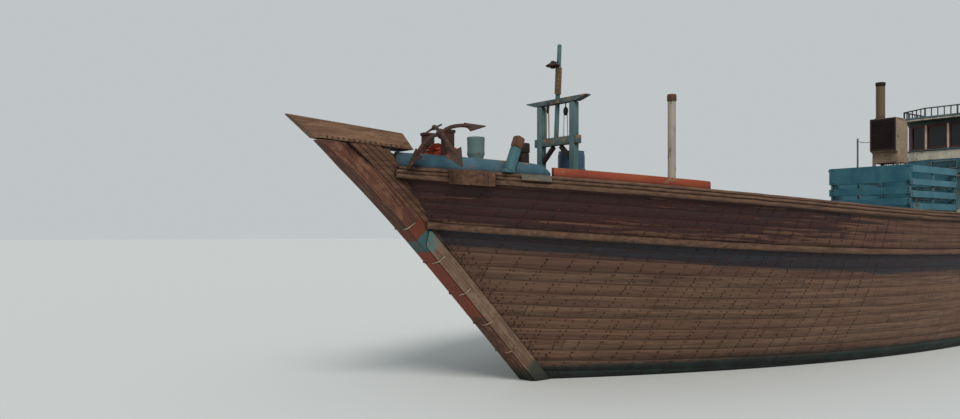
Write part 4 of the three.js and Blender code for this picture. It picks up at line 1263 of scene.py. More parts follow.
def iron_dog(z, side):
    """A staple that crosses from the stem's face to its cheek, square to the rake."""
    face, reach = float(stem_x(z)), STEM_HALF + (CHEEK_THICK if z < 2.7 else 0)
    corner = face - CHEEK_SET_BACK
    points = [(face - 0.03, side * 0.1, z), (face + 0.008, side * 0.1, z),
              (face + 0.012, side * 0.185, z + 0.01), (corner + 0.03, side * (reach + 0.008), z + 0.04),
              (corner - 0.08, side * (reach + 0.01), z + 0.12),
              (corner - 0.09, side * (reach - 0.03), z + 0.12)]
    return run_of(points, 0.015, 6)


fit("stem_dogs", [iron_dog(z, side) for z in DOG_HEIGHTS for _, side in SIDES], "pale_iron")
nail_xs = np.linspace(13.9, 15.3, CAP_NAILS)
cap_low = 4.45 + (nail_xs - CAP_AFT) * CAP_RISE / CAP_LONG + 0.035
cap_half = 0.262 - (nail_xs - CAP_AFT) / 1.86 * 0.152
cap_points = [(x, side * y, z) for _, side in SIDES for x, y, z in zip(nail_xs, cap_half, cap_low)]
cap_normals = [(0.08, side, 0) for _, side in SIDES for _ in nail_xs]
fit("cap_nails", scatter("cap_nails", nail_head(0.014), np.array(cap_points), cap_normals), "dark_iron")

# %% [markdown]
# ## Gear on the foredeck
# The bow is where the boat is moored. A blue wash strake stands on the rail, mooring bitts stand aslant outside
# it, and inboard are the bollard, the windlass and the grapnel, whose shank lies over the strake. Wood is
# squared and worn, iron is forged, so its sections are round or square bars and its finish is rust under old
# paint.

# %% Wash strake and boards on the rail
STRAKE_SPAN, BOARD_SPAN, PAD_SPAN, SHEATH_SPAN = (11.77, 13.93), (8.9, 11.72), (12.68, 13.3), (11.86, 12.3)
FINISH["orange_board"] = painted("orange_board_paint", srgb(122, 42, 8), WOOD_TAN, loss=0.3,
                                 faded=srgb(134, 58, 20))
FINISH["strake"] = painted("strake_paint", srgb(36, 74, 90), WOOD_TAN, loss=0.3, faded=srgb(58, 93, 107))
FINISH["sheathing"] = painted("sheathing_paint", srgb(66, 62, 54), WOOD_TAN, loss=0.34,
                              faded=srgb(84, 79, 69))
PAD_SECTION = [(-0.1, 0.067), (0.05, 0.067), (0.1, 0.045), (0.108, -0.03), (0.108, -0.16), (0.1, -0.2),
               (0.094, -0.2), (0.098, -0.03), (0.05, 0.06), (-0.1, 0.062)]
SHEATH_SECTION = [(-0.02, 0.066), (0.035, 0.066), (0.055, 0.05), (0.099, -0.01), (0.099, -0.05), (0.094, -0.05),
                  (0.09, -0.01), (0.048, 0.045), (0.03, 0.06), (-0.02, 0.06)]


def rail_board(side, span, low_end, high_end, aft_round):
    """A board on edge on the rail: its height at each end, and the length over which its aft end is rounded."""
    ring = [(-0.15, 0.0), (-0.15, 0.93), (-0.142, 1.0), (-0.098, 1.0), (-0.09, 0.93), (-0.09, 0.0),
            (-0.15, 0.0)]
    steps = 40
    out, up = np.array(ring).T

    def place(share, around):
        row = np.rint(around * (len(ring) - 1)).astype(int)
        x = span[0] + (span[1] - span[0]) * share ** 1.5
        near_end = np.clip((x - span[0] + 0.01) / aft_round, 0, 1)
        height = (low_end + (high_end - low_end) * share) * np.sqrt(near_end * (2 - near_end))
        z = rail_z(x) + 0.066 + up[row] * height
        return np.stack([x, side * (half_breadth(x, rail_z(x)) + out[row]), z], axis=-1)

    return close_ends(lay_grid(steps, len(ring) - 1, place))


for name, side in SIDES:
    fit(f"wash_board_{name}", rail_board(side, STRAKE_SPAN, 0.19, 0.26, 0.3), "strake",
        stands_for=f"wash_strake_{name}", degrees=40)
    fit(f"orange_board_{name}", rail_board(side, BOARD_SPAN, 0.15, 0.16, 0.02), "orange_board", degrees=40)
fit("rail_pad", lay_rail(1, PAD_SPAN, rail_z, PAD_SECTION, 0.0), "brown", degrees=50)
fit("rail_sheathing", lay_rail(1, SHEATH_SPAN, rail_z, SHEATH_SECTION, 0.0, 0.001), "sheathing", degrees=50)

# %% [markdown]
# ### Bitts, bollard and windlass
# On each rail a squared post leans aft out of a short bed: it is painted, with a bare head. Inboard of it a
# second post stands upright on the foredeck, dark with tar. Rope turns are one run of points round a post, with
# a round section. The windlass barrel has eight whelps, a toothed wheel for the pawl, and a warping head at
# each end, and it turns as one piece.

# %% Bitts and bollard
BITT_X, BITT_LEAN, BITT_HIGH, BITT_SIZE = 12.47, 0.25, 0.64, (0.15, 0.15)
FINISH["rope"] = bare_timber("rope_fibre", srgb(146, 124, 92), srgb(84, 68, 50), "Z", depth=0.003)
FINISH["tarred"] = bare_timber("tarred_timber", srgb(50, 36, 32), srgb(28, 20, 18), "Z")
FINISH["bitt"] = painted("bitt_paint", srgb(44, 80, 90), WOOD_TAN, "Z", loss=0.26, faded=srgb(62, 100, 108))
FINISH["bollard"] = iron("bollard_paint", srgb(90, 114, 114), loss=0.24, metallic=0.1)


def rope_turns(place, radius, rope, turns):
    """A rope wound closely round a post: place is the middle of its lowest turn."""
    count = int(turns * 16)
    points = []
    for step in range(count + 1):
        angle = math.tau * step / 16
        spot = Vector(((radius + rope) * math.cos(angle), (radius + rope) * math.sin(angle),
                       step / 16 * rope * 2.05))
        points.append(spot + Vector(place))
    return run_of(points, rope, 6)


def leaning_post(foot, lean, high, size, head):
    """A squared post and its head, as two timbers: the head starts at the given share of the height."""
    foot, top = Vector(foot), Vector(foot) + Vector((-lean, 0, high))
    neck = foot.lerp(top, head)
    shaft = sawn(((neck - foot).length, *size), 0.018, 2)
    shaft.data.transform(between(foot, neck, X_AXIS))
    cap = sawn(((top - neck).length, size[0] * 1.12, size[1] * 1.12), 0.03, 3)
    cap.data.transform(between(neck, top, X_AXIS))
    return shaft, cap


for name, side in SIDES:
    y = side * (float(half_breadth(BITT_X, rail_z(BITT_X))) + 0.06)
    low, middle, high = (Vector((x, y, float(rail_z(x)) + 0.095))
                         for x in (BITT_X - 0.11, BITT_X, BITT_X + 0.11))
    bed = plank(low, high, 0.12, 0.06, 0.012)
    shaft, head = leaning_post(middle, BITT_LEAN, BITT_HIGH - 0.03, BITT_SIZE, 0.68)
    fit(f"bitt_shaft_{name}", [bed, shaft], "bitt", stands_for=f"rail_bitt_{name}")
    fit(f"bitt_head_{name}", head, "brown_upright")
    foot = Vector((11.9, side * 1.18, ON_FOREDECK))
    dark = leaning_post(foot, 0, 1.058, (0.2, 0.2), 0.82)
    fit(f"tarred_bitt_{name}", list(dark), "tarred", slot="stem_timber", stands_for=f"deck_bitt_{name}")
    fit(f"bitt_turns_{name}", rope_turns(foot + Vector((0, 0, 0.5)), 0.135, 0.014, 5), "rope")

barrel_wall = [(0, 0), (0.15, 0), (0.15, 0.3), (0.156, 0.32), (0.15, 0.34), (0.15, 0.88), (0.168, 0.92),
               (0.172, 0.96), (0.166, 1.0), (0.17, 1.2), (0.176, 1.23), (0.168, 1.262), (0.13, 1.25),
               (0, 1.255)]
fit("bollard", turned(barrel_wall, 12.05, 0, 3.551), "bollard", stands_for="bow_bollard")

# %% Windlass
WINDLASS_X, WINDLASS_Z, BARREL_RADIUS = 12.95, 4.42, 0.128
WHELPS, TEETH = 8, 20


def around_barrel(template, count):
    """Copies of a piece modelled above the barrel's axis, set round it."""
    axis = Matrix.Translation((WINDLASS_X, 0, WINDLASS_Z))
    return copies(template, [axis @ Matrix.Rotation(math.tau * n / count, 4, "Y") for n in range(count)])


def barrel_pieces():
    head = [(0.06, 0.385), (0.1, 0.405), (0.1, 0.42), (0.078, 0.45), (0.074, 0.48), (0.098, 0.515),
            (0.1, 0.528), (0, 0.528)]
    drum = [(0, -0.25), (BARREL_RADIUS, -0.25), (BARREL_RADIUS, 0.25), (0, 0.25)]
    wheel = [(0.12, -0.05), (0.2, -0.05), (0.2, 0.05), (0.12, 0.05), (0.12, -0.05)]
    pieces = [turned(drum, WINDLASS_X, 0, WINDLASS_Z, 24, Y_AXIS),
              turned(wheel, WINDLASS_X, 0, WINDLASS_Z, 40, Y_AXIS)]
    pieces.append(rod((WINDLASS_X, -0.5, WINDLASS_Z), (WINDLASS_X, 0.5, WINDLASS_Z), 0.056, 16))
    for side in (1, -1):
        pieces.append(turned([(0.05, 0.385)] + head[1:], WINDLASS_X, 0, WINDLASS_Z, 20, Y_AXIS * side))
        pieces += around_barrel(stud(0, side * 0.15, 0.035, 0.08, 0.12, 0.149),
                                WHELPS)
    pieces += around_barrel(stud(0, 0, 0.016, 0.045, 0.19, 0.219, 0.004), TEETH)
    return pieces


FINISH["red_barrel"] = iron("red_barrel_paint", srgb(158, 54, 36), loss=0.3, metallic=0.1)
fit("windlass_drum", barrel_pieces(), "red_barrel", body="windlass_barrel", stands_for="windlass_barrel")
uprights = [soften("windlass_bitts", 0.012)]
uprights += [timber((12.82, y - 0.075, 4.8), (13.08, y + 0.075, 4.86), 0.012, 2) for y in (0.32, -0.32)]
FINISH["dark_red_iron"] = iron("dark_red_iron", srgb(58, 34, 29), loss=0.22, metallic=0.1)
fit("windlass_frame", uprights, "dark_red_iron", stands_for="windlass_bitts")
pawl = [rod((12.71, 0, 3.8), (12.71, 0, 4.24), 0.03, 8), plank((12.7, 0, 4.22), (12.766, 0, 4.37), 0.05, 0.03)]
fit("windlass_pawl", pawl, "rust")

# %% [markdown]
# ### The grapnel and its chain
# Dhows ride to a grapnel, a shank with four arms that end in flat pointed palms. One arm is made standing along
# Y beside a shank on the X axis, then copied in quarter turns, and the whole is laid by the same three
# directions that the frame uses. The chain is one link, a ring drawn out to an oval, copied along a line with
# every other link turned on its side.

# %% Grapnel and chain
GRAPNEL_CROWN = Vector((13.5, 0.87, 4.7))
GRAPNEL_ALONG, GRAPNEL_UP = Vector((-0.63, -0.298, -0.717)).normalized(), Vector((-0.756, 0.448, 0.476))
ARM_CURVE = [(0.0, 0.03), (-0.02, 0.12), (-0.012, 0.22), (0.018, 0.31), (0.06, 0.4), (0.11, 0.47),
             (0.168, 0.53)]
PALM_SPLAY, PALM_LONG, PALM_HALF = 1.09, 0.3, 0.165


def palm():
    """A pointed plate, thicker along its middle."""
    plate = sawn((PALM_LONG + 0.06, PALM_HALF * 2, 0.03), 0)
    pick(plate, "VERT", lambda at, _: at.x > 0)
    bpy.ops.transform.resize(value=(1, 0.04, 0.6))
    bpy.ops.object.mode_set(mode="OBJECT")
    bevel_all(plate, 0.004, 1)
    plate.data.transform(Matrix.Translation((PALM_LONG / 2 - 0.03, 0, 0)))
    plate.data.transform(Matrix.Rotation(math.pi / 2, 4, "X"))
    plate.data.transform(Matrix.Translation((0.168, 0.53, 0)) @ Matrix.Rotation(PALM_SPLAY, 4, "Z"))
    return plate


def grapnel():
    arm = gather("arm", [run_of([(x, y, 0) for x, y in ARM_CURVE], 0.036, 8), palm()])
    pieces = copies(arm, [Matrix.Rotation(math.pi / 2 * quarter, 4, "X") for quarter in range(4)])
    pieces.append(turned([(0, -0.06), (0.055, -0.06), (0.075, -0.03), (0.078, 0.03), (0.06, 0.08), (0.04, 0.1),
                          (0.038, 1.28), (0.05, 1.31), (0.05, 1.38), (0, 1.4)], 0, 0, 0, 16, X_AXIS))
    ring = [(1.46 + 0.07 * math.cos(math.tau * n / 16), 0.07 * math.sin(math.tau * n / 16), 0)
            for n in range(16)]
    pieces.append(run_of(ring, 0.016, 6, closed=True))
    across = GRAPNEL_ALONG.cross(GRAPNEL_UP).normalized()
    arms = across.cross(GRAPNEL_ALONG)
    turn = Matrix((GRAPNEL_ALONG, arms, across)).transposed().to_4x4()
    for piece in pieces:
        piece.data.transform(Matrix.Translation(GRAPNEL_CROWN) @ turn)
    return pieces


def chain(points):
    """Links along a line of points, at even steps."""
    bar, long = 0.011, 0.085
    oval = [((long / 2 - 0.022) * math.copysign(1, c) + 0.022 * c, 0.026 * s, 0)
            for c, s in ((math.cos(a), math.sin(a)) for a in (math.tau * (n + 0.5) / 10 for n in range(10)))]
    link = run_of(oval, bar, 6, closed=True)
    line = [Vector(point) for point in points]
    places, carry, flip = [], 0.0, 0
    step = long - bar * 2.2
    for start, end in zip(line, line[1:]):
        length = (end - start).length
        while carry <= length:
            middle = start.lerp(end, carry / length)
            tangent = (end - start).normalized()
            places.append(between(middle - tangent, middle + tangent, (0.02, 0.01, 1))
                          @ Matrix.Rotation(math.pi / 2 * flip + 0.5, 4, "X"))
            carry, flip = carry + step, 1 - flip
        carry -= length
    return copies(link, places)


FINISH["grapnel_iron"] = iron("grapnel_iron", srgb(58, 44, 38), loss=0.3, metallic=0.1)
fit("grapnel", grapnel(), "grapnel_iron", stands_for="anchor")
deck_lay = [(12.5, 0.46, 3.6), (12.4, 0.5, 3.585), (12.2, 0.42, 3.585), (12.0, 0.34, 3.585), (11.8, 0.2, 3.585),
            (11.84, -0.12, 3.6), (12.05, -0.22, 3.63), (12.24, -0.08, 3.66), (12.22, 0.12, 3.69),
            (12.05, 0.21, 3.72), (11.87, 0.1, 3.75), (11.88, -0.12, 3.78), (12.05, -0.2, 3.81)]
fit("anchor_chain", chain(deck_lay), "grapnel_iron")

# %% [markdown]
# ### Gallows
# Two squared posts carry a top beam with pointed ends, and a pole between them is wound with line and holds a
# lamp. Blocks hang from the beam on short straps with their falls made fast below. A block is a round shell
# with a groove, made by pressing in a ball, and its falls are straight runs.

# %% Gallows, blocks and lamp
GALLOWS_X, POST_Y, BEAM_Z, CROSS_Z, MAST_TOP = 9.9, 0.49, 5.71, 4.88, 6.89
POLE_LEAN = (Matrix.Translation((GALLOWS_X, 0, 5.6)) @ Matrix.Rotation(math.radians(-3), 4, "X")
             @ Matrix.Translation((-GALLOWS_X, 0, -5.6)))
FINISH["weathered_teal"] = painted("weathered_teal_paint", srgb(56, 86, 90), srgb(108, 94, 76), "Z", loss=0.24,
                                   faded=srgb(84, 108, 108))
FINISH["dark_teal"] = painted("dark_teal_paint", srgb(48, 70, 74), WOOD_TAN, "X", loss=0.34,
                              faded=srgb(78, 96, 96))


def tackle(x, y, top, bottom, size):
    """A block under a strap, and its falls: gives the wooden and the roped parts."""
    deselect()
    bpy.ops.mesh.primitive_uv_sphere_add(segments=14, ring_count=8, radius=size,
                                         location=(x, y, top - size * 2.2))
    shell = settle(bpy.context.active_object)
    centre = Vector((x, y, top - size * 2.2))
    for vertex in shell.data.vertices:
        from_middle = vertex.co - centre
        groove = 0.75 if abs(from_middle.x) < size * 0.25 else 1.0
        vertex.co = centre + Vector((from_middle.x * 0.62, from_middle.y * 0.8 * groove, from_middle.z * 1.25))
    strap = rod((x, y, top), (x, y, top - size * 1.2), 0.012, 8)
    falls = [rod((x, y + shift, top - size * 2.6), (x, y + shift * 1.4, bottom), 0.007, 6)
             for shift in (-size * 0.6, size * 0.6)]
    return [shell, strap], falls


def gallows_beam():
    beam = stud(GALLOWS_X, 0, 0.08, 0.9, BEAM_Z - 0.05, BEAM_Z + 0.05, 0)
    for cut in (-0.62, 0.62):
        with editing(beam):
            bpy.ops.mesh.bisect(plane_co=(0, cut, 0), plane_no=(0, 1, 0))
    for vertex in beam.data.vertices:
        if abs(vertex.co.y) > 0.85:
            vertex.co.z = BEAM_Z + 0.04 + (vertex.co.z - BEAM_Z) * 0.2
    return bevel_all(beam, 0.008, 1)


posts = [stud(GALLOWS_X, y, 0.0725, 0.0725, ON_FOREDECK, BEAM_Z - 0.06, 0.014, 2)
         for y in (POST_Y, -POST_Y)]
fit("gallows_posts", posts, "weathered_teal", stands_for="gallows")
cross = stud(GALLOWS_X, 0, 0.07, 0.64, CROSS_Z - 0.085, CROSS_Z + 0.085, 0.012, 2)
fit("gallows_beams", [gallows_beam(), cross], "dark_teal")
pole = turned([(0, CROSS_Z + 0.08), (0.05, CROSS_Z + 0.08), (0.048, 5.8), (0.044, 6.86), (0.04, MAST_TOP),
               (0, MAST_TOP)], GALLOWS_X, 0, 0, 14)
lashing = rope_turns((GALLOWS_X, 0, 5.86), 0.046, 0.013, 21)
for piece in (pole, lashing):
    piece.data.transform(POLE_LEAN)
fit("gallows_pole", pole, "weathered_teal", slot="hull_timber")
fit("pole_lashing", lashing, "rope")
knees = [plank((GALLOWS_X, side * 0.44, CROSS_Z - 0.42), (GALLOWS_X, side * 0.1, CROSS_Z - 0.1), 0.1, 0.09,
               0.02, X_AXIS) for side in (1, -1)]
knees += [stud(GALLOWS_X, side * POST_Y, 0.16, 0.13, ON_FOREDECK, 3.68, 0.015)
          for side in (1, -1)]
fit("gallows_knees", knees, "tarred")
shells, ropes = [], []
for y, size, x in ((0.25, 0.075, GALLOWS_X), (-0.16, 0.05, GALLOWS_X + 0.12), (-0.3, 0.045, GALLOWS_X)):
    wood, falls = tackle(x, y, BEAM_Z - 0.06 if x == GALLOWS_X else BEAM_Z, CROSS_Z + 0.085, size)
    shells += wood
    ropes += falls
fit("gallows_blocks", shells, "tarred")
fit("gallows_falls", ropes, "rope")
lamp = turned([(0, 6.4), (0.05, 6.4), (0.06, 6.43), (0.145, 6.44), (0.15, 6.46), (0.06, 6.51), (0.04, 6.55),
               (0, 6.55)], GALLOWS_X + 0.1, -0.03, 0, 18)
fit("gallows_lamp", [lamp, rod((GALLOWS_X + 0.02, 0.03, 6.53), (GALLOWS_X + 0.1, -0.03, 6.52), 0.015, 8)],
    "dark_iron")

# %% [markdown]
# ### Water drum
# A drum of blue plastic with two rolled hoops and a recessed lid. Plastic is smooth and a little glossy, dulled
# by salt and scratches, so its finish has a noise on its roughness, dust in patches, painted shade in its
# corners, and no rust.

# %% Drum
def plastic(name, colour):
    material, tree, shader, place = start_material(name, 0.45)
    scuffs = noise(tree, stretched(tree, place, (3.0, 3.0, 14.0)), 2.0, 7, 0.7)
    dusty = blend(tree, band(tree, scuffs, 0.45, 0.75, 0.0, 0.6), colour, tuple(v * 0.5 + 0.16 for v in colour))
    tree.links.new(band(tree, scuffs, 0.3, 0.7, 0.38, 0.7), shader.inputs["Roughness"])
    dress(tree, shader, dusty, scuffs, 0.001, 0.15)
    return material


FINISH["blue_plastic"] = plastic("blue_plastic", srgb(36, 68, 96))
DRUM_X, DRUM_Y = 9.3, -0.2
drum_wall = [(0, 0), (0.26, 0), (0.285, 0.02), (0.288, 0.1), (0.288, 0.36), (0.3, 0.38), (0.302, 0.395),
             (0.288, 0.415), (0.288, 0.75), (0.3, 0.77), (0.302, 0.785), (0.288, 0.805), (0.288, 1.08),
             (0.27, 1.14), (0.275, 1.15), (0.278, 1.168), (0.26, 1.17), (0.25, 1.145), (0, 1.145)]
drum_bung = [(0, 1.14), (0.04, 1.14), (0.04, 1.162), (0, 1.162)]
fit("water_drum_shell", [turned(drum_wall, DRUM_X, DRUM_Y, ON_FOREDECK, 32),
                         turned(drum_bung, DRUM_X + 0.15, DRUM_Y, ON_FOREDECK, 12)], "blue_plastic",
    stands_for="water_drum")

# %% [markdown]
# ## Decks and bulwarks
# Decks are laid in narrow boards from end to end, with their butts staggered. On the boat they are caulked with
# pitch; here a narrow gap between the boards gives the dark line that shows between them. Each board is one
# squared timber, drawn out to its length, and ends where the hull narrows. Frames stand against the inside of
# the bulwark, an arm's length apart, and carry the rail.

# %% Lay the decks
BOARD_WIDE, BOARD_GAP, BOARD_THICK = 0.165, 0.009, 0.014


def lay_boards(name, span, z, half_at, longest=5.6):
    """Deck boards along the boat between two places: half_at gives the deck's half breadth at x."""
    stations = np.arange(span[0], span[1] + 0.001, 0.05)
    halves = np.array([float(half_at(x)) for x in stations])
    template = sawn((1, BOARD_WIDE - BOARD_GAP, BOARD_THICK), 0.003)
    places = []
    for row in range(-int(halves.max() / BOARD_WIDE) - 1, int(halves.max() / BOARD_WIDE) + 2):
        y = row * BOARD_WIDE
        fits = stations[halves > abs(y) + BOARD_WIDE / 2]
        if len(fits) < 8:
            continue
        cuts = [fits[0]]
        while fits[-1] - cuts[-1] > longest * 1.3:
            cuts.append(cuts[-1] + longest * (0.55 + 0.6 * chance.random()))
        cuts.append(fits[-1])
        for start, end in zip(cuts, cuts[1:]):
            length = end - start - 0.006
            drawn = Matrix.Diagonal((length, 1, 1, 1))
            middle = ((start + end) / 2, y, z + BOARD_THICK / 2 - 0.001 + chance.uniform(0, 0.002))
            places.append(Matrix.Translation(middle) @ drawn)
    fit(name, copies(template, places), "deck")


def deck_half(z):
    return lambda x: half_breadth(x, z) - BULWARK - 0.02


lay_boards("foredeck_boards", (FORE_BREAK + 0.02, 13.15), FORE_DECK, deck_half(FORE_DECK))
lay_boards("main_deck_boards", (POOP_BREAK + 0.02, FORE_BREAK - 0.02), MAIN_DECK, deck_half(MAIN_DECK))
lay_boards("poop_deck_boards", (-15.6, POOP_BREAK - 0.02), POOP_DECK, deck_half(POOP_DECK))

# %% Bulwark frames and the breaks of the decks
FRAME_STEP = 0.84


def bulwark_frames(side):
    pieces = []
    for x in np.arange(-15.0, 12.4, FRAME_STEP):
        deck = POOP_DECK if x < POOP_BREAK else FORE_DECK if x > FORE_BREAK else MAIN_DECK
        foot, head = (Vector((x, side * (float(half_breadth(x, z)) - BULWARK - 0.04), z))
                      for z in (deck + 0.01, float(rail_z(x)) - 0.005))
        pieces.append(plank(foot, head, 0.11, 0.08, 0.01, Y_AXIS))
    return pieces


for name, side in SIDES:
    fit(f"bulwark_frames_{name}", bulwark_frames(side), "inner")
breaks = []
for x, low, high, lean in ((FORE_BREAK, MAIN_DECK, FORE_DECK, -1), (POOP_BREAK, MAIN_DECK, POOP_DECK, 1)):
    half = float(half_breadth(x, low)) - BULWARK - 0.03
    breaks.append(timber((x + min(lean * 0.05, 0), -half, high - 0.12),
                         (x + max(lean * 0.05, 0), half, high - 0.002), 0.012))
    for row in range(3):
        bottom = low + 0.02 + row * (high - low - 0.14) / 3
        breaks.append(timber((x + min(lean * 0.025, 0), -half, bottom),
                             (x + max(lean * 0.025, 0), half, bottom + 0.165), 0.006))
fit("deck_break_boards", breaks, "teal")

# %% [markdown]
# ## The stern
# The transom is closed with level planks on a rake, and finished above with a heavy rail. The rudder hangs on
# the sternpost: it is built of upright planks held by iron straps on both faces, and it turns as one body. The
# screw stands in its opening ahead of it.

# %% Transom, sternpost and keel
TRANSOM_LOW, TRANSOM_PLANK = 0.75, 0.215


def transom_planks(low, high):
    pieces = []
    for bottom in np.arange(low, high - 0.05, TRANSOM_PLANK):
        top = min(bottom + TRANSOM_PLANK - 0.006, high)
        ring = []
        for z in (bottom, top):
            x = float(stern_x(z))
            half = float(half_breadth(x + 0.001, z)) - 0.004
            ring.append([(x - depth, y, z) for depth in (0.002, 0.026) for y in (-half, half)])
        board = timber((-0.5, -0.5, -0.5), (0.5, 0.5, 0.5), 0)
        for vertex in board.data.vertices:
            row = ring[1 if vertex.co.z > 0 else 0]
            vertex.co = row[(2 if vertex.co.x < 0 else 0) + (1 if vertex.co.y > 0 else 0)]
        pieces.append(bevel_all(board, 0.004, 1))
    return pieces


stern_rail = float(rail_z(-15.9))
fit("transom_planks", transom_planks(TRANSOM_LOW, 2.9), "brown")
fit("transom_band", transom_planks(2.96, stern_rail - 0.02), "maroon")
ledge = [plank((float(stern_x(z)) - 0.035, -half, z), (float(stern_x(z)) - 0.035, half, z), 0.09, 0.09, 0.02)
         for z, half in ((2.93, 2.42), (stern_rail + 0.02, 2.86))]
fit("transom_rails", ledge, "rail")
fit("sternpost_timber", soften("sternpost", 0.02), "brown_upright", stands_for="sternpost")
fit("keel_timber", soften("keel", 0.025), "brown", stands_for="keel")

# %% Rudder and screw
STERNPOST, RUDDER_GAP, KNUCKLE = 0.26, 0.015, 0.09


def rudder_x(z):
    return float(stern_x(z)) - STERNPOST - RUDDER_GAP - KNUCKLE


def rudder_strap(z, reach):
    """An iron strap on both faces of the rudder, with a knuckle at its forward end."""
    start, end = Vector((rudder_x(z) + 0.03, 0, z)), Vector((rudder_x(z) - reach, 0, z - reach * STERN_RAKE))
    faces = []
    for side in (1, -1):
        shift = Vector((0, side * 0.068, 0))
        faces.append(plank(start + shift, end + shift, 0.012, 0.085, 0.003))
        faces += [rod(start.lerp(end, share) + shift, start.lerp(end, share) + shift * 1.16, 0.014, 8)
                  for share in (0.25, 0.55, 0.85)]
    return faces


fit("rudder_blade", soften("rudder", 0.014), "brown_upright", body="rudder", stands_for="rudder")
straps = [part for z, reach in ((-1.1, 0.9), (-0.1, 0.95), (0.9, 0.62), (1.9, 0.3))
          for part in rudder_strap(z, reach)]
fit("rudder_straps", straps, "rust", body="rudder")
fit("screw", soften("propeller", 0.006, 1), "bronze", body="propeller", stands_for="propeller")

# %% [markdown]
# ## The waist
# Amidships lie the cargo hatch, whose boards are lifted out one by one, and the king post, to which cargo gear
# is made fast. Aft of them stand the slatted pen, the engine casing and the exhaust.

# %% Hatch and king post
HATCH_X, HATCH_HALF, HATCH_BOARD, COAMING_TOP = (1.2, 5.4), 1.54, 0.22, 3.46
covers = []
for row in range(14):
    y = -HATCH_HALF + HATCH_BOARD * row
    for start, end in ((HATCH_X[0] - 0.04, 3.28), (3.29, HATCH_X[1] + 0.04)):
        lift = chance.uniform(0, 0.008)
        covers.append(timber((start, y + 0.003, COAMING_TOP + 0.001 + lift),
                             (end, y + 0.215, COAMING_TOP + 0.06 + lift), 0.008))
fit("hatch_boards", covers, "deck", stands_for="hatch_covers")
battens = [stud(x, 0, 0.06, HATCH_HALF, COAMING_TOP + 0.066, COAMING_TOP + 0.12, 0.01)
           for x in (1.704, 2.754, 3.846, 4.896)]
fit("hatch_battens", battens, "brown")
coaming = [soften("hatch_coaming", 0.014)]
for side in (1, -1):
    coaming.append(timber((1.16, side * 1.525 - 0.025, 3.3), (5.44, side * 1.525 + 0.025, 3.36), 0.01))
    coaming += [stud(x, side * 1.545, 0.04, 0.045, 3.36, 3.44, 0.01)
                for x in np.linspace(1.5, 5.1, 6)]
fit("hatch_frame", coaming, "teal", stands_for="hatch_coaming")
FINISH["grey_post"] = painted("grey_post_paint", srgb(132, 124, 112), srgb(104, 84, 68), "Z", loss=0.3,
                               faded=srgb(152, 142, 128))
KING_POST_X = 6.2
post_wall = [(0, ON_MAIN_DECK), (0.095, ON_MAIN_DECK), (0.095, 6.07), (0.085, 6.09), (0, 6.09)]
fit("king_post_shaft", turned(post_wall, KING_POST_X, 0), "grey_post", stands_for="king_post")
head_wall = [(0, 6.08), (0.1, 6.08), (0.111, 6.1), (0.112, 6.21), (0.1, 6.245), (0, 6.262)]
fit("king_post_head", turned(head_wall, KING_POST_X, 0), "brown_upright")
foot_wall = [(0.09, 2.902), (0.19, 2.902), (0.19, 3.0), (0.18, 3.02), (0.09, 3.02), (0.09, 2.902)]
fit("king_post_foot", turned(foot_wall, KING_POST_X, 0), "brown")
fit("king_post_turns", rope_turns((KING_POST_X, 0, 3.6), 0.096, 0.013, 9), "rope")
cleats = []
for side in (1, -1):
    cleats.append(rod((KING_POST_X, side * 0.09, 3.5), (KING_POST_X, side * 0.16, 3.5), 0.02, 10))
    cleats.append(rod((6.05, side * 0.165, 3.5), (6.35, side * 0.165, 3.5), 0.018, 10, 0.006))
fit("king_post_cleats", cleats, "tarred")

# %% Slatted pen
FINISH["pen"] = painted("pen_paint", srgb(34, 88, 106), srgb(96, 82, 66), loss=0.2, faded=srgb(58, 106, 118))
FINISH["pen_pale"] = painted("pen_pale_paint", srgb(46, 94, 110), srgb(96, 82, 66), loss=0.24,
                             faded=srgb(64, 110, 124))
FINISH["pen_post"] = painted("pen_post_paint", srgb(40, 92, 104), srgb(150, 146, 128), "Z", loss=0.34)
across_boards, along_boards, spots, leans = [], [], [], []
END_BOARDS = ((4.27, 4.72), (3.98, 4.16), (3.69, 3.87), (3.4, 3.58))
SIDE_BOARDS = ((4.54, 4.72), (4.2, 4.36), (3.89, 4.06), (3.58, 3.75))
for (low, high), (side_low, side_high) in zip(END_BOARDS, SIDE_BOARDS):
    slip = chance.uniform(-0.008, 0.008)
    across_boards.append(timber((0.28, 0.64, low + slip), (0.325, 2.81, high + slip * 0.5), 0.006))
    across_boards.append(timber((-2.4, 0.7, low - slip), (-2.355, 2.8, high), 0.006))
    along_boards.append(timber((-2.4, 2.78, side_low - slip), (0.3, 2.825, side_high - slip), 0.006))
    along_boards.append(timber((-2.4, 0.7, side_low + slip), (0.3, 0.745, side_high - 0.004), 0.006))
    for end_z, side_z in ((high - 0.05, side_high - 0.05), (low + 0.05, side_low + 0.05)):
        spots += [(0.325, y, end_z) for y in (0.73, 0.76, 2.74, 2.77)]
        spots += [(x, 2.825, side_z) for x in (-2.36, -2.33, 0.23, 0.26)]
        leans += [(1, 0, 0)] * 4 + [(0, 1, 0)] * 4
fit("pen_end_boards", across_boards, "pen", stands_for="slatted_pen")
fit("pen_side_boards", along_boards, "pen_pale")
corners = [timber((x, y, ON_MAIN_DECK), (x + 0.09, y + 0.09, 4.725), 0.01) for x in (-2.4, 0.19)
           for y in (0.7, 2.69)]
corners += [timber((-1.1, y, ON_MAIN_DECK), (-1.03, y + 0.05, 4.7), 0.008) for y in (0.75, 2.725)]
fit("pen_posts", corners, "pen_post")
fit("pen_nails", scatter("pen_nails", nail_head(0.012, 0.008), np.array(spots), leans), "dark_iron")

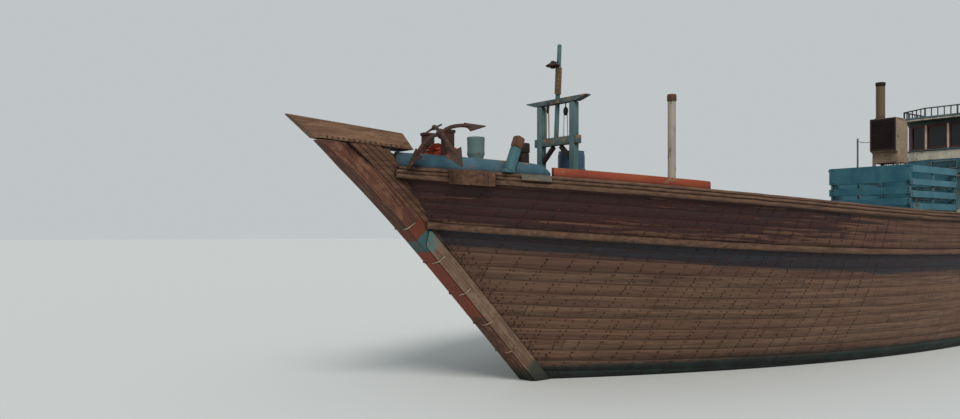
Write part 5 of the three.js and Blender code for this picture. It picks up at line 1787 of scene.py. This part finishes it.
# %% Engine casing
casing = [soften("engine_casing", 0.012)]
for side in (1, -1):
    for x in np.linspace(-5.9, -3.1, 6):
        casing.append(stud(x, side * 1.11, 0.03, 0.02, 2.92, 4.88, 0.006))
    for x in (-5.36, -4.24):
        casing += [stud(x, side * 1.105, 0.24, 0.012, z, z + 0.03, 0.004)
                   for z in np.linspace(3.9, 4.5, 9)]
FINISH["deep_teal"] = painted("deep_teal_paint", srgb(24, 54, 64), srgb(84, 70, 56), "Z", loss=0.24,
                               faded=srgb(36, 72, 82))
fit("casing_walls", casing, "deep_teal", stands_for="engine_casing")
leaves = []
for side in (1, -1):
    leaves.append(timber((-2.905, side * 0.3 - 0.28, 3.0), (-2.87, side * 0.3 + 0.28, 4.6), 0.008))
    leaves += [timber((-2.875, side * 0.3 - 0.2, z), (-2.855, side * 0.3 + 0.2, z + 0.09), 0.004)
               for z in (3.3, 4.2)]
fit("casing_doors", leaves, "deep_teal")
lay_boards("casing_lid_boards", (-6.13, -2.87), 4.95, lambda x: 1.14, 2.4)

# %% Exhaust housing and stack
FINISH["housing"] = painted("housing_paint", srgb(124, 106, 90), srgb(86, 68, 54), loss=0.26, scale=3.4,
                            faded=srgb(144, 126, 106))
# Near-black red for the louvres and their frame: dark red paint with the shade of the opening painted into it
FINISH["soot_red"] = painted("painted_shade_red_paint", srgb(32, 12, 14), srgb(46, 32, 28), loss=0.2,
                             faded=srgb(42, 18, 18))
FINISH["stack"] = iron("stack_iron", srgb(96, 80, 62), loss=0.16, metallic=0.1)
FINISH["soot"] = bare_timber("soot", srgb(44, 38, 34), srgb(20, 18, 18), "Z")
fit("housing_walls", soften("exhaust_housing", 0.012, limit=40), "housing", stands_for="exhaust_housing",
    degrees=40)
HOUSING_FRONT = -3.99
front = HOUSING_FRONT + 0.001
frame_boards = [timber((front - 0.01, y - 0.03, 5.55), (front + 0.022, y + 0.03, 6.55), 0.006)
                for y in (-0.372, 0.372)]
frame_boards += [timber((front - 0.01, -0.345, z - 0.03), (front + 0.02, 0.345, z + 0.03), 0.006)
                 for z in (5.585, 6.515)]
# A dark plate behind the louvres stands for the shade inside the opening: painted shade
frame_boards += [timber((front - 0.01, -0.345, 5.61), (front + 0.002, 0.345, 6.49), 0)]
frame_boards += [plank((front + 0.008, -0.343, z), (front + 0.008, 0.343, z), 0.05, 0.008, 0.002, (0.75, 0, 1))
                 for z in np.linspace(5.65, 6.45, 15)]
fit("housing_louvres", frame_boards, "soot_red")
STACK = (-4.3, -0.225)
pipe = [(0.115, 6.63), (0.115, 7.72), (0.13, 7.72), (0.135, 7.6), (0.135, 6.61), (0.172, 6.6), (0.175, 6.565),
        (0.12, 6.562), (0.115, 6.63)]
fit("stack_pipe", turned(pipe, *STACK), "stack", stands_for="exhaust_stack")
rim = [(0.116, 7.6), (0.116, 7.73), (0.146, 7.732), (0.149, 7.72), (0.149, 7.65), (0.136, 7.64), (0.136, 7.6),
       (0.116, 7.6)]
fit("stack_rim", turned(rim, *STACK), "soot")
soot_plug = turned([(0, 6.9), (0.118, 6.9), (0.118, 6.92), (0, 6.92)], *STACK)
fit("stack_bottom", soot_plug, "soot")

# %% Stanchion on the casing
STANCHION = (-2.98, -0.28)
stanchion = [rod((*STANCHION, low), (*STANCHION, high), radius, sides)
             for low, high, radius, sides in ((4.945, 5.88, 0.026, 10), (4.95, 4.99, 0.06, 12))]
fit("casing_stanchion", stanchion, "weathered_teal")
tied_from, tied_to = Vector((*STANCHION, 5.8)), Vector((-3.98, -0.36, 5.86))
tie = [tied_from.lerp(tied_to, share) - Vector((0, 0, 0.16 * share * (1 - share)))
       for share in np.linspace(0, 1, 9)]
fit("casing_tie", run_of(tie, 0.011, 6), "rope")

# %% [markdown]
# ## The houses
# Two houses stand aft, one on the other: the crew's house on the main deck, and the wheelhouse above it. Both
# have a bowed front, so their mouldings are swept along the outline of the plan. Windows and mouldings are set
# by two points of that outline, which lets one recipe serve the straight walls and the curved corners.

# %% Outlines of the houses
HOUSE = {"x0": -13.5, "x1": -9.5, "half": 2.4, "bow": 0.5}
WHEELHOUSE = {"x0": -12.9, "x1": -9.5, "half": 1.95, "bow": 0.5}
BOAT_DECK = {"x0": -14.0, "x1": -9.25, "half": 2.95, "bow": 0.5}
ROOF = {"x0": -13.2, "x1": -9.2, "half": 2.25, "bow": 0.55}


def bow_curve(house):
    """The curved port corner of a plan, from the side wall to the front."""
    front, half = house["x1"], house["half"]
    start, pull, end = np.array([(front - house["bow"], half), (front, half - 0.06), (front, half / 2)])
    shares = np.linspace(0, 1, 9)[:, None]
    return (1 - shares) ** 2 * start + 2 * shares * (1 - shares) * pull + shares ** 2 * end


def fore_line(house, from_x):
    """Plan points from the port side at from_x round the front to the starboard side."""
    port = np.concatenate([[(from_x, house["half"])], bow_curve(house)])
    return np.concatenate([port, (port * (1, -1))[::-1]])


def aft_line(house, to_x):
    x0, half = house["x0"], house["half"]
    return np.array([(to_x, -half), (x0, -half), (x0, half), (to_x, half)])


def whole_line(house):
    x0, half = house["x0"], house["half"]
    return np.concatenate([[(x0, half)], fore_line(house, x0 + 0.5), [(x0, -half), (x0, half)]])


def mitred(line):
    """The outward direction at each plan point, longer at corners so that mouldings meet there."""
    ahead = np.diff(line, axis=0)
    ahead /= np.linalg.norm(ahead, axis=1, keepdims=True)
    turned_out = np.stack([-ahead[:, 1], ahead[:, 0]], axis=1)
    closed = np.allclose(line[0], line[-1])
    before = np.concatenate([turned_out[-1:] if closed else turned_out[:1], turned_out])
    after = np.concatenate([turned_out, turned_out[:1] if closed else turned_out[-1:]])
    middle = before + after
    return 2 * middle / np.maximum(np.sum(middle * middle, axis=1, keepdims=True), 0.5)


def moulding(line, section):
    """Sweeps a section of (outward, z) points, which closes on itself, along plan points."""
    out = mitred(line)
    ring = np.array(section + section[:1])
    columns, rows = len(line) - 1, len(ring) - 1

    def place(share, around):
        column, row = np.rint(share * columns).astype(int), np.rint(around * rows).astype(int)
        plan = line[column] + out[column] * ring[row, :1]
        return np.concatenate([plan, ring[row, 1:]], axis=-1)

    return close_ends(lay_grid(columns, rows, place))


def board_section(low, high, thick, arris=0.006):
    return [(-0.004, low), (thick - arris, low), (thick, low + arris), (thick, high - arris),
            (thick - arris, high), (-0.004, high)]


def sill_section(z, reach, deep):
    return [(-0.004, z - deep), (reach * 0.5, z - deep), (reach * 0.75, z - deep * 0.5),
            (reach, z - deep * 0.45), (reach, z - 0.006), (reach - 0.008, z), (-0.004, z)]


# %% [markdown]
# Windows are a frame of four squared pieces round a thin pane. The frame is made flat, along X and Z, and then
# laid on the wall from one plan point to the other.

# %% Windows
def glass():
    material, tree, shader, place = start_material("window_glass", 0.08)
    dust = noise(tree, place, 3.0, 6, 0.7)
    tree.links.new(band(tree, dust, 0.45, 0.75, 0.04, 0.4), shader.inputs["Roughness"])
    # The pane is near black: it stands for the unlit room behind it, as painted shade
    shader.inputs["Base Color"].default_value = (0.02, 0.026, 0.026, 1)
    shader.inputs["Transmission Weight"].default_value = 0.6
    shader.inputs["IOR"].default_value = 1.45
    shader.inputs["Specular IOR Level"].default_value = 0.3
    return material


FINISH["glass"] = glass()
FINISH["mullion"] = painted("mullion_paint", srgb(168, 156, 138), srgb(104, 84, 66), "Z", loss=0.24)
FINISH["varnish"] = painted("varnished_wall", srgb(78, 40, 32), srgb(60, 40, 32), "Z", loss=0.22)
FINISH["jamb"] = painted("jamb_paint", srgb(72, 32, 26), srgb(70, 50, 40), "Z", loss=0.2,
                         faded=srgb(88, 42, 32))
FINISH["dark_frieze"] = painted("frieze_paint", srgb(40, 50, 50), srgb(70, 60, 50), loss=0.24)
FINISH["cream_band"] = painted("cream_band_paint", srgb(166, 162, 146), srgb(100, 84, 66), loss=0.26)
FINISH["lattice"] = painted("lattice_paint", srgb(96, 118, 116), srgb(104, 88, 70), loss=0.24)


def laid_on_wall(start, end):
    """The matrix from flat work (X along, Y outward, Z up) to a wall between two plan points."""
    start, end = Vector((*start, 0)), Vector((*end, 0))
    along = (end - start).normalized()
    outward = Z_AXIS.cross(along)
    frame_of = Matrix((along, outward, Z_AXIS)).transposed().to_4x4()
    return Matrix.Translation(start) @ frame_of


def window_pieces(start, end, low, high):
    """Gives the frame and the pane of a window between two plan points, taken so that the wall lies inward."""
    width, proud, deep = 0.045, 0.02, 0.05
    length = (Vector(end) - Vector(start)).length
    turn = laid_on_wall(start, end)
    inside = (width - 0.002, length - width + 0.002)
    rows = [timber((-0.01, -deep, low - 0.01), (width, proud, high + 0.01), 0.005),
            timber((length - width, -deep, low - 0.01), (length + 0.01, proud, high + 0.01), 0.005),
            timber((inside[0], -deep, high - width), (inside[1], proud - 0.004, high + 0.01), 0.005),
            timber((inside[0], -deep, low - 0.01), (inside[1], proud + 0.012, low + width), 0.005)]
    rim = width - 0.005
    pane = timber((rim, -0.03, low + rim), (length - rim, -0.024, high - rim), 0)
    for piece in rows + [pane]:
        piece.data.transform(turn)
    return rows, pane


def fit_windows(name, places, finish, sash=None):
    frames, panes, bars = [], [], []
    for start, end, low, high in places:
        rows, pane = window_pieces(start, end, low, high)
        frames += rows
        panes.append(pane)
        if sash:
            length, middle = (Vector(end) - Vector(start)).length, (low + high) / 2
            cross = [stud(length / 2, -0.02, 0.014, 0.02, low + 0.03, high - 0.03, 0.004),
                     timber((0.03, -0.04, middle - 0.014), (length - 0.03, 0.0, middle + 0.014), 0.004)]
            for piece in cross:
                piece.data.transform(laid_on_wall(start, end))
            bars += cross
    fit(f"{name}_frames", frames + bars, finish)
    fit(f"{name}_panes", panes, "glass")


def port_and_starboard(rows):
    """Mirrors rows of (start, end, low, high), each turned about so that it still faces outward."""
    other = [((end[0], -end[1]), (start[0], -start[1]), low, high) for start, end, low, high in rows]
    return rows + other


WINDOW_Z, HOUSE_WINDOW_Z = (6.03, 6.87), (3.9, 4.5)
port_rows = [((x, 1.95), (x + 0.62, 1.95), *WINDOW_Z) for x in (-11.5, -10.8)]
port_rows += [((-9.645, 1.70), (-9.502, 1.16), *WINDOW_Z), ((-9.5, 1.09), (-9.5, 0.4), *WINDOW_Z)]
wheelhouse_rows = port_and_starboard(port_rows)
wheelhouse_rows += [((-9.5, 0.33), (-9.5, -0.33), *WINDOW_Z), ((-12.9, -0.7), (-12.9, 0.7), 6.1, 6.8)]
house_rows = [((x, 2.4), (x + 0.6, 2.4), *HOUSE_WINDOW_Z) for x in (-13.1, -12.1)]
house_rows += [((-9.5, 1.35), (-9.5, 0.75), *HOUSE_WINDOW_Z)]
fit_windows("wheelhouse_window", wheelhouse_rows, "jamb")
fit_windows("deckhouse_window", port_and_starboard(house_rows), "mullion", sash=True)

# %% [markdown]
# The walls themselves are the frame's solids with their arrises rounded. Over them go the painted mouldings: a
# varnished upper wall with pale mullions between its windows, a blue-green sill, a cream band, and panels below
# in blue-green with a lattice of thin strips. A moulding stops at a doorway and starts again behind it.

# %% Walls and mouldings of the wheelhouse
DOORWAY = (-12.6, -11.95)
fit("wheelhouse_walls", soften("wheelhouse", 0.006, 1, 40), "varnish", stands_for="wheelhouse", degrees=40)


def broken_by_doors(house, section, doorway=DOORWAY):
    ahead, behind = fore_line(house, doorway[1] + 0.03), aft_line(house, doorway[0] - 0.03)
    return [moulding(ahead, section), moulding(behind, section)]


fit("wheelhouse_lower_walls", broken_by_doors(WHEELHOUSE, board_section(5.203, 5.65, 0.012)), "teal",
    degrees=40)
fit("wheelhouse_bands", broken_by_doors(WHEELHOUSE, board_section(5.63, 5.965, 0.022, 0.008)), "cream_band",
    degrees=40)
fit("wheelhouse_sills", broken_by_doors(WHEELHOUSE, sill_section(6.012, 0.075, 0.055)), "teal", degrees=40)
fit("wheelhouse_frieze", moulding(whole_line(WHEELHOUSE), board_section(6.905, 7.048, 0.018)), "dark_frieze",
    degrees=40)
strips = [timber((-9.52, y - 0.034, 6.01), (-9.47, y + 0.034, 6.91), 0.008)
          for y in (-1.125, -0.365, 0.365, 1.125)]
strips += [stud(x, y, 0.034, 0.025, 6.01, 6.91)
           for x in (-10.84, -10.14) for y in (1.96, -1.96)]
fit("wheelhouse_mullions", strips, "mullion")


def lattice(start, end):
    """Crossed thin strips in a frame, on a wall between two plan points."""
    low, high, cell = 5.27, 5.58, 0.2
    length = (Vector(end) - Vector(start)).length
    turn = laid_on_wall(start, end)
    rows = [timber((0, 0.0, z), (length, 0.024, z + 0.03), 0.004) for z in (low, high - 0.03)]
    rows += [timber((x, 0.0, low), (x + 0.03, 0.024, high), 0.004) for x in (0, length - 0.03)]
    count = max(int(length / cell), 2)
    for number in range(count):
        x = length * (number + 0.5) / count
        for first, last in ((low + 0.02, high - 0.02), (high - 0.02, low + 0.02)):
            rows.append(plank((x - cell / 2, 0.014, first), (x + cell / 2, 0.014, last), 0.008, 0.016, 0,
                              Y_AXIS))
    for piece in rows:
        piece.data.transform(turn @ Matrix.Translation((0, 0.012, 0)))
    return rows


panels = []
for start, end in (((-9.5, 0.95), (-9.5, 0.05)), ((-9.5, -0.05), (-9.5, -0.95))):
    panels += lattice(start, end)
for x0, x1 in ((-11.7, -10.95), (-10.85, -10.1)):
    panels += lattice((x0, 1.95), (x1, 1.95)) + lattice((x1, -1.95), (x0, -1.95))
fit("wheelhouse_lattice", panels, "lattice")

# %% Walls and mouldings of the crew's house
fit("deckhouse_walls", soften("deckhouse", 0.006, 1, 40), "teal_upright", stands_for="deckhouse", degrees=40)
HOUSE_DOORWAY = (-11.0, -10.3)
fit("deckhouse_base", broken_by_doors(HOUSE, board_section(2.915, 3.06, 0.03), HOUSE_DOORWAY), "maroon",
    degrees=40)
fit("deckhouse_band", broken_by_doors(HOUSE, board_section(3.7, 3.82, 0.02), HOUSE_DOORWAY), "cream_band",
    degrees=40)
fit("deckhouse_cornice", moulding(whole_line(HOUSE), sill_section(5.096, 0.09, 0.12)), "cream_band", degrees=40)

# %% Doors
def door_pieces(house_half, wall, span, low, high, side):
    """A ledged and framed door leaf inside its doorway, with its grip, all within the frame's own leaf."""
    inner, outer = house_half - wall + 0.018, house_half
    start, end, foot, head = span[0] + 0.009, span[1] - 0.009, low + 0.009, high - 0.009

    def slice_of(x0, x1, y0, y1, z0, z1, arris=0.005):
        return timber((x0, min(side * y0, side * y1), z0), (x1, max(side * y0, side * y1), z1), arris)

    middle = (foot + head) / 2
    leaf = [slice_of(start + 0.004, end - 0.004, inner + 0.004, outer - 0.02, foot + 0.004, head - 0.004)]
    leaf += [slice_of(x, x + 0.09, inner, outer, foot, head) for x in (start, end - 0.09)]
    leaf += [slice_of(start + 0.088, end - 0.088, inner, outer - 0.001, z, z + 0.1)
             for z in (foot, middle - 0.05, head - 0.1)]
    x = start + 0.066
    face, held = side * outer, side * (outer + 0.032)
    grip = [rod((x, face, z), (x, held, z), 0.008, 8) for z in (middle - 0.08, middle + 0.08)]
    grip.append(rod((x, held, middle - 0.088), (x, held, middle + 0.088), 0.008, 8))
    straps = [slice_of(end - 0.34, end - 0.01, outer - 0.003, outer + 0.003, z, z + 0.04, 0.001)
              for z in (foot + 0.2, head - 0.26)]
    return leaf, grip + straps


for name, side in SIDES:
    for house, half, wall, span, low, high in (("wheelhouse", 1.95, 0.07, DOORWAY, 5.26, 6.9),
                                               ("deckhouse", 2.4, 0.08, HOUSE_DOORWAY, 2.96, 4.8)):
        leaf, iron_work = door_pieces(half, wall, span, low, high, side)
        body = f"{house}_door_{name}"
        fit(f"{body}_leaf", leaf, "maroon_upright", body=body, stands_for=body)
        fit(f"{body}_iron", iron_work, "dark_iron", body=body)

# %% [markdown]
# ### Roof, boat deck and railings
# The roof is a slab with a pale nosing under its edge, and a low railing of thin bars. The boat deck is boarded
# and fenced with turned balusters, painted white and all spun from one outline, between blue-green rails. There
# are dozens, so each has few faces.

# %% Roof and boat deck
fit("roof_slab", soften("wheelhouse_roof", 0.02, 2, 40), "roof", stands_for="wheelhouse_roof", degrees=40)
fit("roof_nosing", moulding(whole_line(ROOF), board_section(7.062, 7.1, 0.014)), "mullion", degrees=40)
lay_boards("boat_deck_boards", (-13.97, -9.6), 5.2, lambda x: 2.9, 2.8)
fit("boat_deck_edge", moulding(whole_line(BOAT_DECK), board_section(5.105, 5.195, 0.02, 0.008)), "teal",
    degrees=40)


def spaced(points, step):
    """Places at even steps along a run of plan points, ends left out."""
    made = []
    for start, end in zip(points, points[1:]):
        start, end = np.array(start), np.array(end)
        count = max(int(round(np.linalg.norm(end - start) / step)), 1)
        made += [start + (end - start) * n / count for n in range(1, count)]
    return made


def mirrored_run(side_points, middle_points):
    return side_points + middle_points + [(x, -y) for x, y in reversed(side_points)]


ROOF_RUN = mirrored_run([(-13.04, 2.09), (-12.3, 2.09), (-11.4, 2.09), (-9.9, 2.09)],
                        [(-9.36, 1.1), (-9.36, 0), (-9.36, -1.1)])
DECK_RUN = mirrored_run([(-9.75, 2.88), (-10.7, 2.88), (-11.7, 2.88), (-12.7, 2.88), (-13.93, 2.88)],
                        [(-13.93, 0.95), (-13.93, -0.95)])
thin_bars = [soften("roof_railing", 0.004, 1)]
template = rod((0, 0, 7.185), (0, 0, 7.5), 0.021, 6)
thin_bars += copies(template, [Matrix.Translation((x, y, 0)) for x, y in spaced(ROOF_RUN, 0.22)])
fit("roof_rails", thin_bars, "dark_frieze", slot="roof_paint", stands_for="roof_railing")
fit("boat_deck_rails", soften("boat_deck_railing", 0.008, 1), "teal", stands_for="boat_deck_railing")
spindle = [(0, 5.2), (0.026, 5.2), (0.026, 5.27), (0.014, 5.3), (0.026, 5.4), (0.03, 5.48), (0.016, 5.57),
           (0.024, 5.6), (0.016, 5.63), (0.024, 5.78), (0.014, 5.88), (0.024, 5.91), (0.024, 5.96), (0, 5.96)]
places = [Matrix.Translation((x, y, 0)) for x, y in spaced(DECK_RUN, 0.2)]
fit("balusters", copies(turned(spindle, 0, 0, 0, 8), places), "white")

# %% [markdown]
# ### Helm
# The wheel turns on the pedestal. Its rim, spokes, handles and hub are finished as one piece of wood.

# %% Wheel and pedestal
fit("helm_wheel_wood", soften("helm_wheel", 0.004, 1), "brown", body="helm_wheel", stands_for="helm_wheel")
fit("helm_pedestal_wood", soften("helm_pedestal", 0.015), "brown_upright", stands_for="helm_pedestal")
fit("wheelhouse_floor", timber((-12.82, -1.86, 5.199), (-9.62, 1.86, 5.222), 0.004), "deck")

# %% Dress the solids of the frame that still show
STILL_SEEN = {"hull": "inner", "stem_knee": "brown", "foredeck": "deck", "main_deck": "deck",
              "poop_deck": "deck", "boat_deck": "deck"}
for node, look in STILL_SEEN.items():
    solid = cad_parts[node]
    solid.data.materials.clear()
    solid.data.materials.append(FINISH[look])

# %% Measure the bounds of what is shown
low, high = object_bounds()
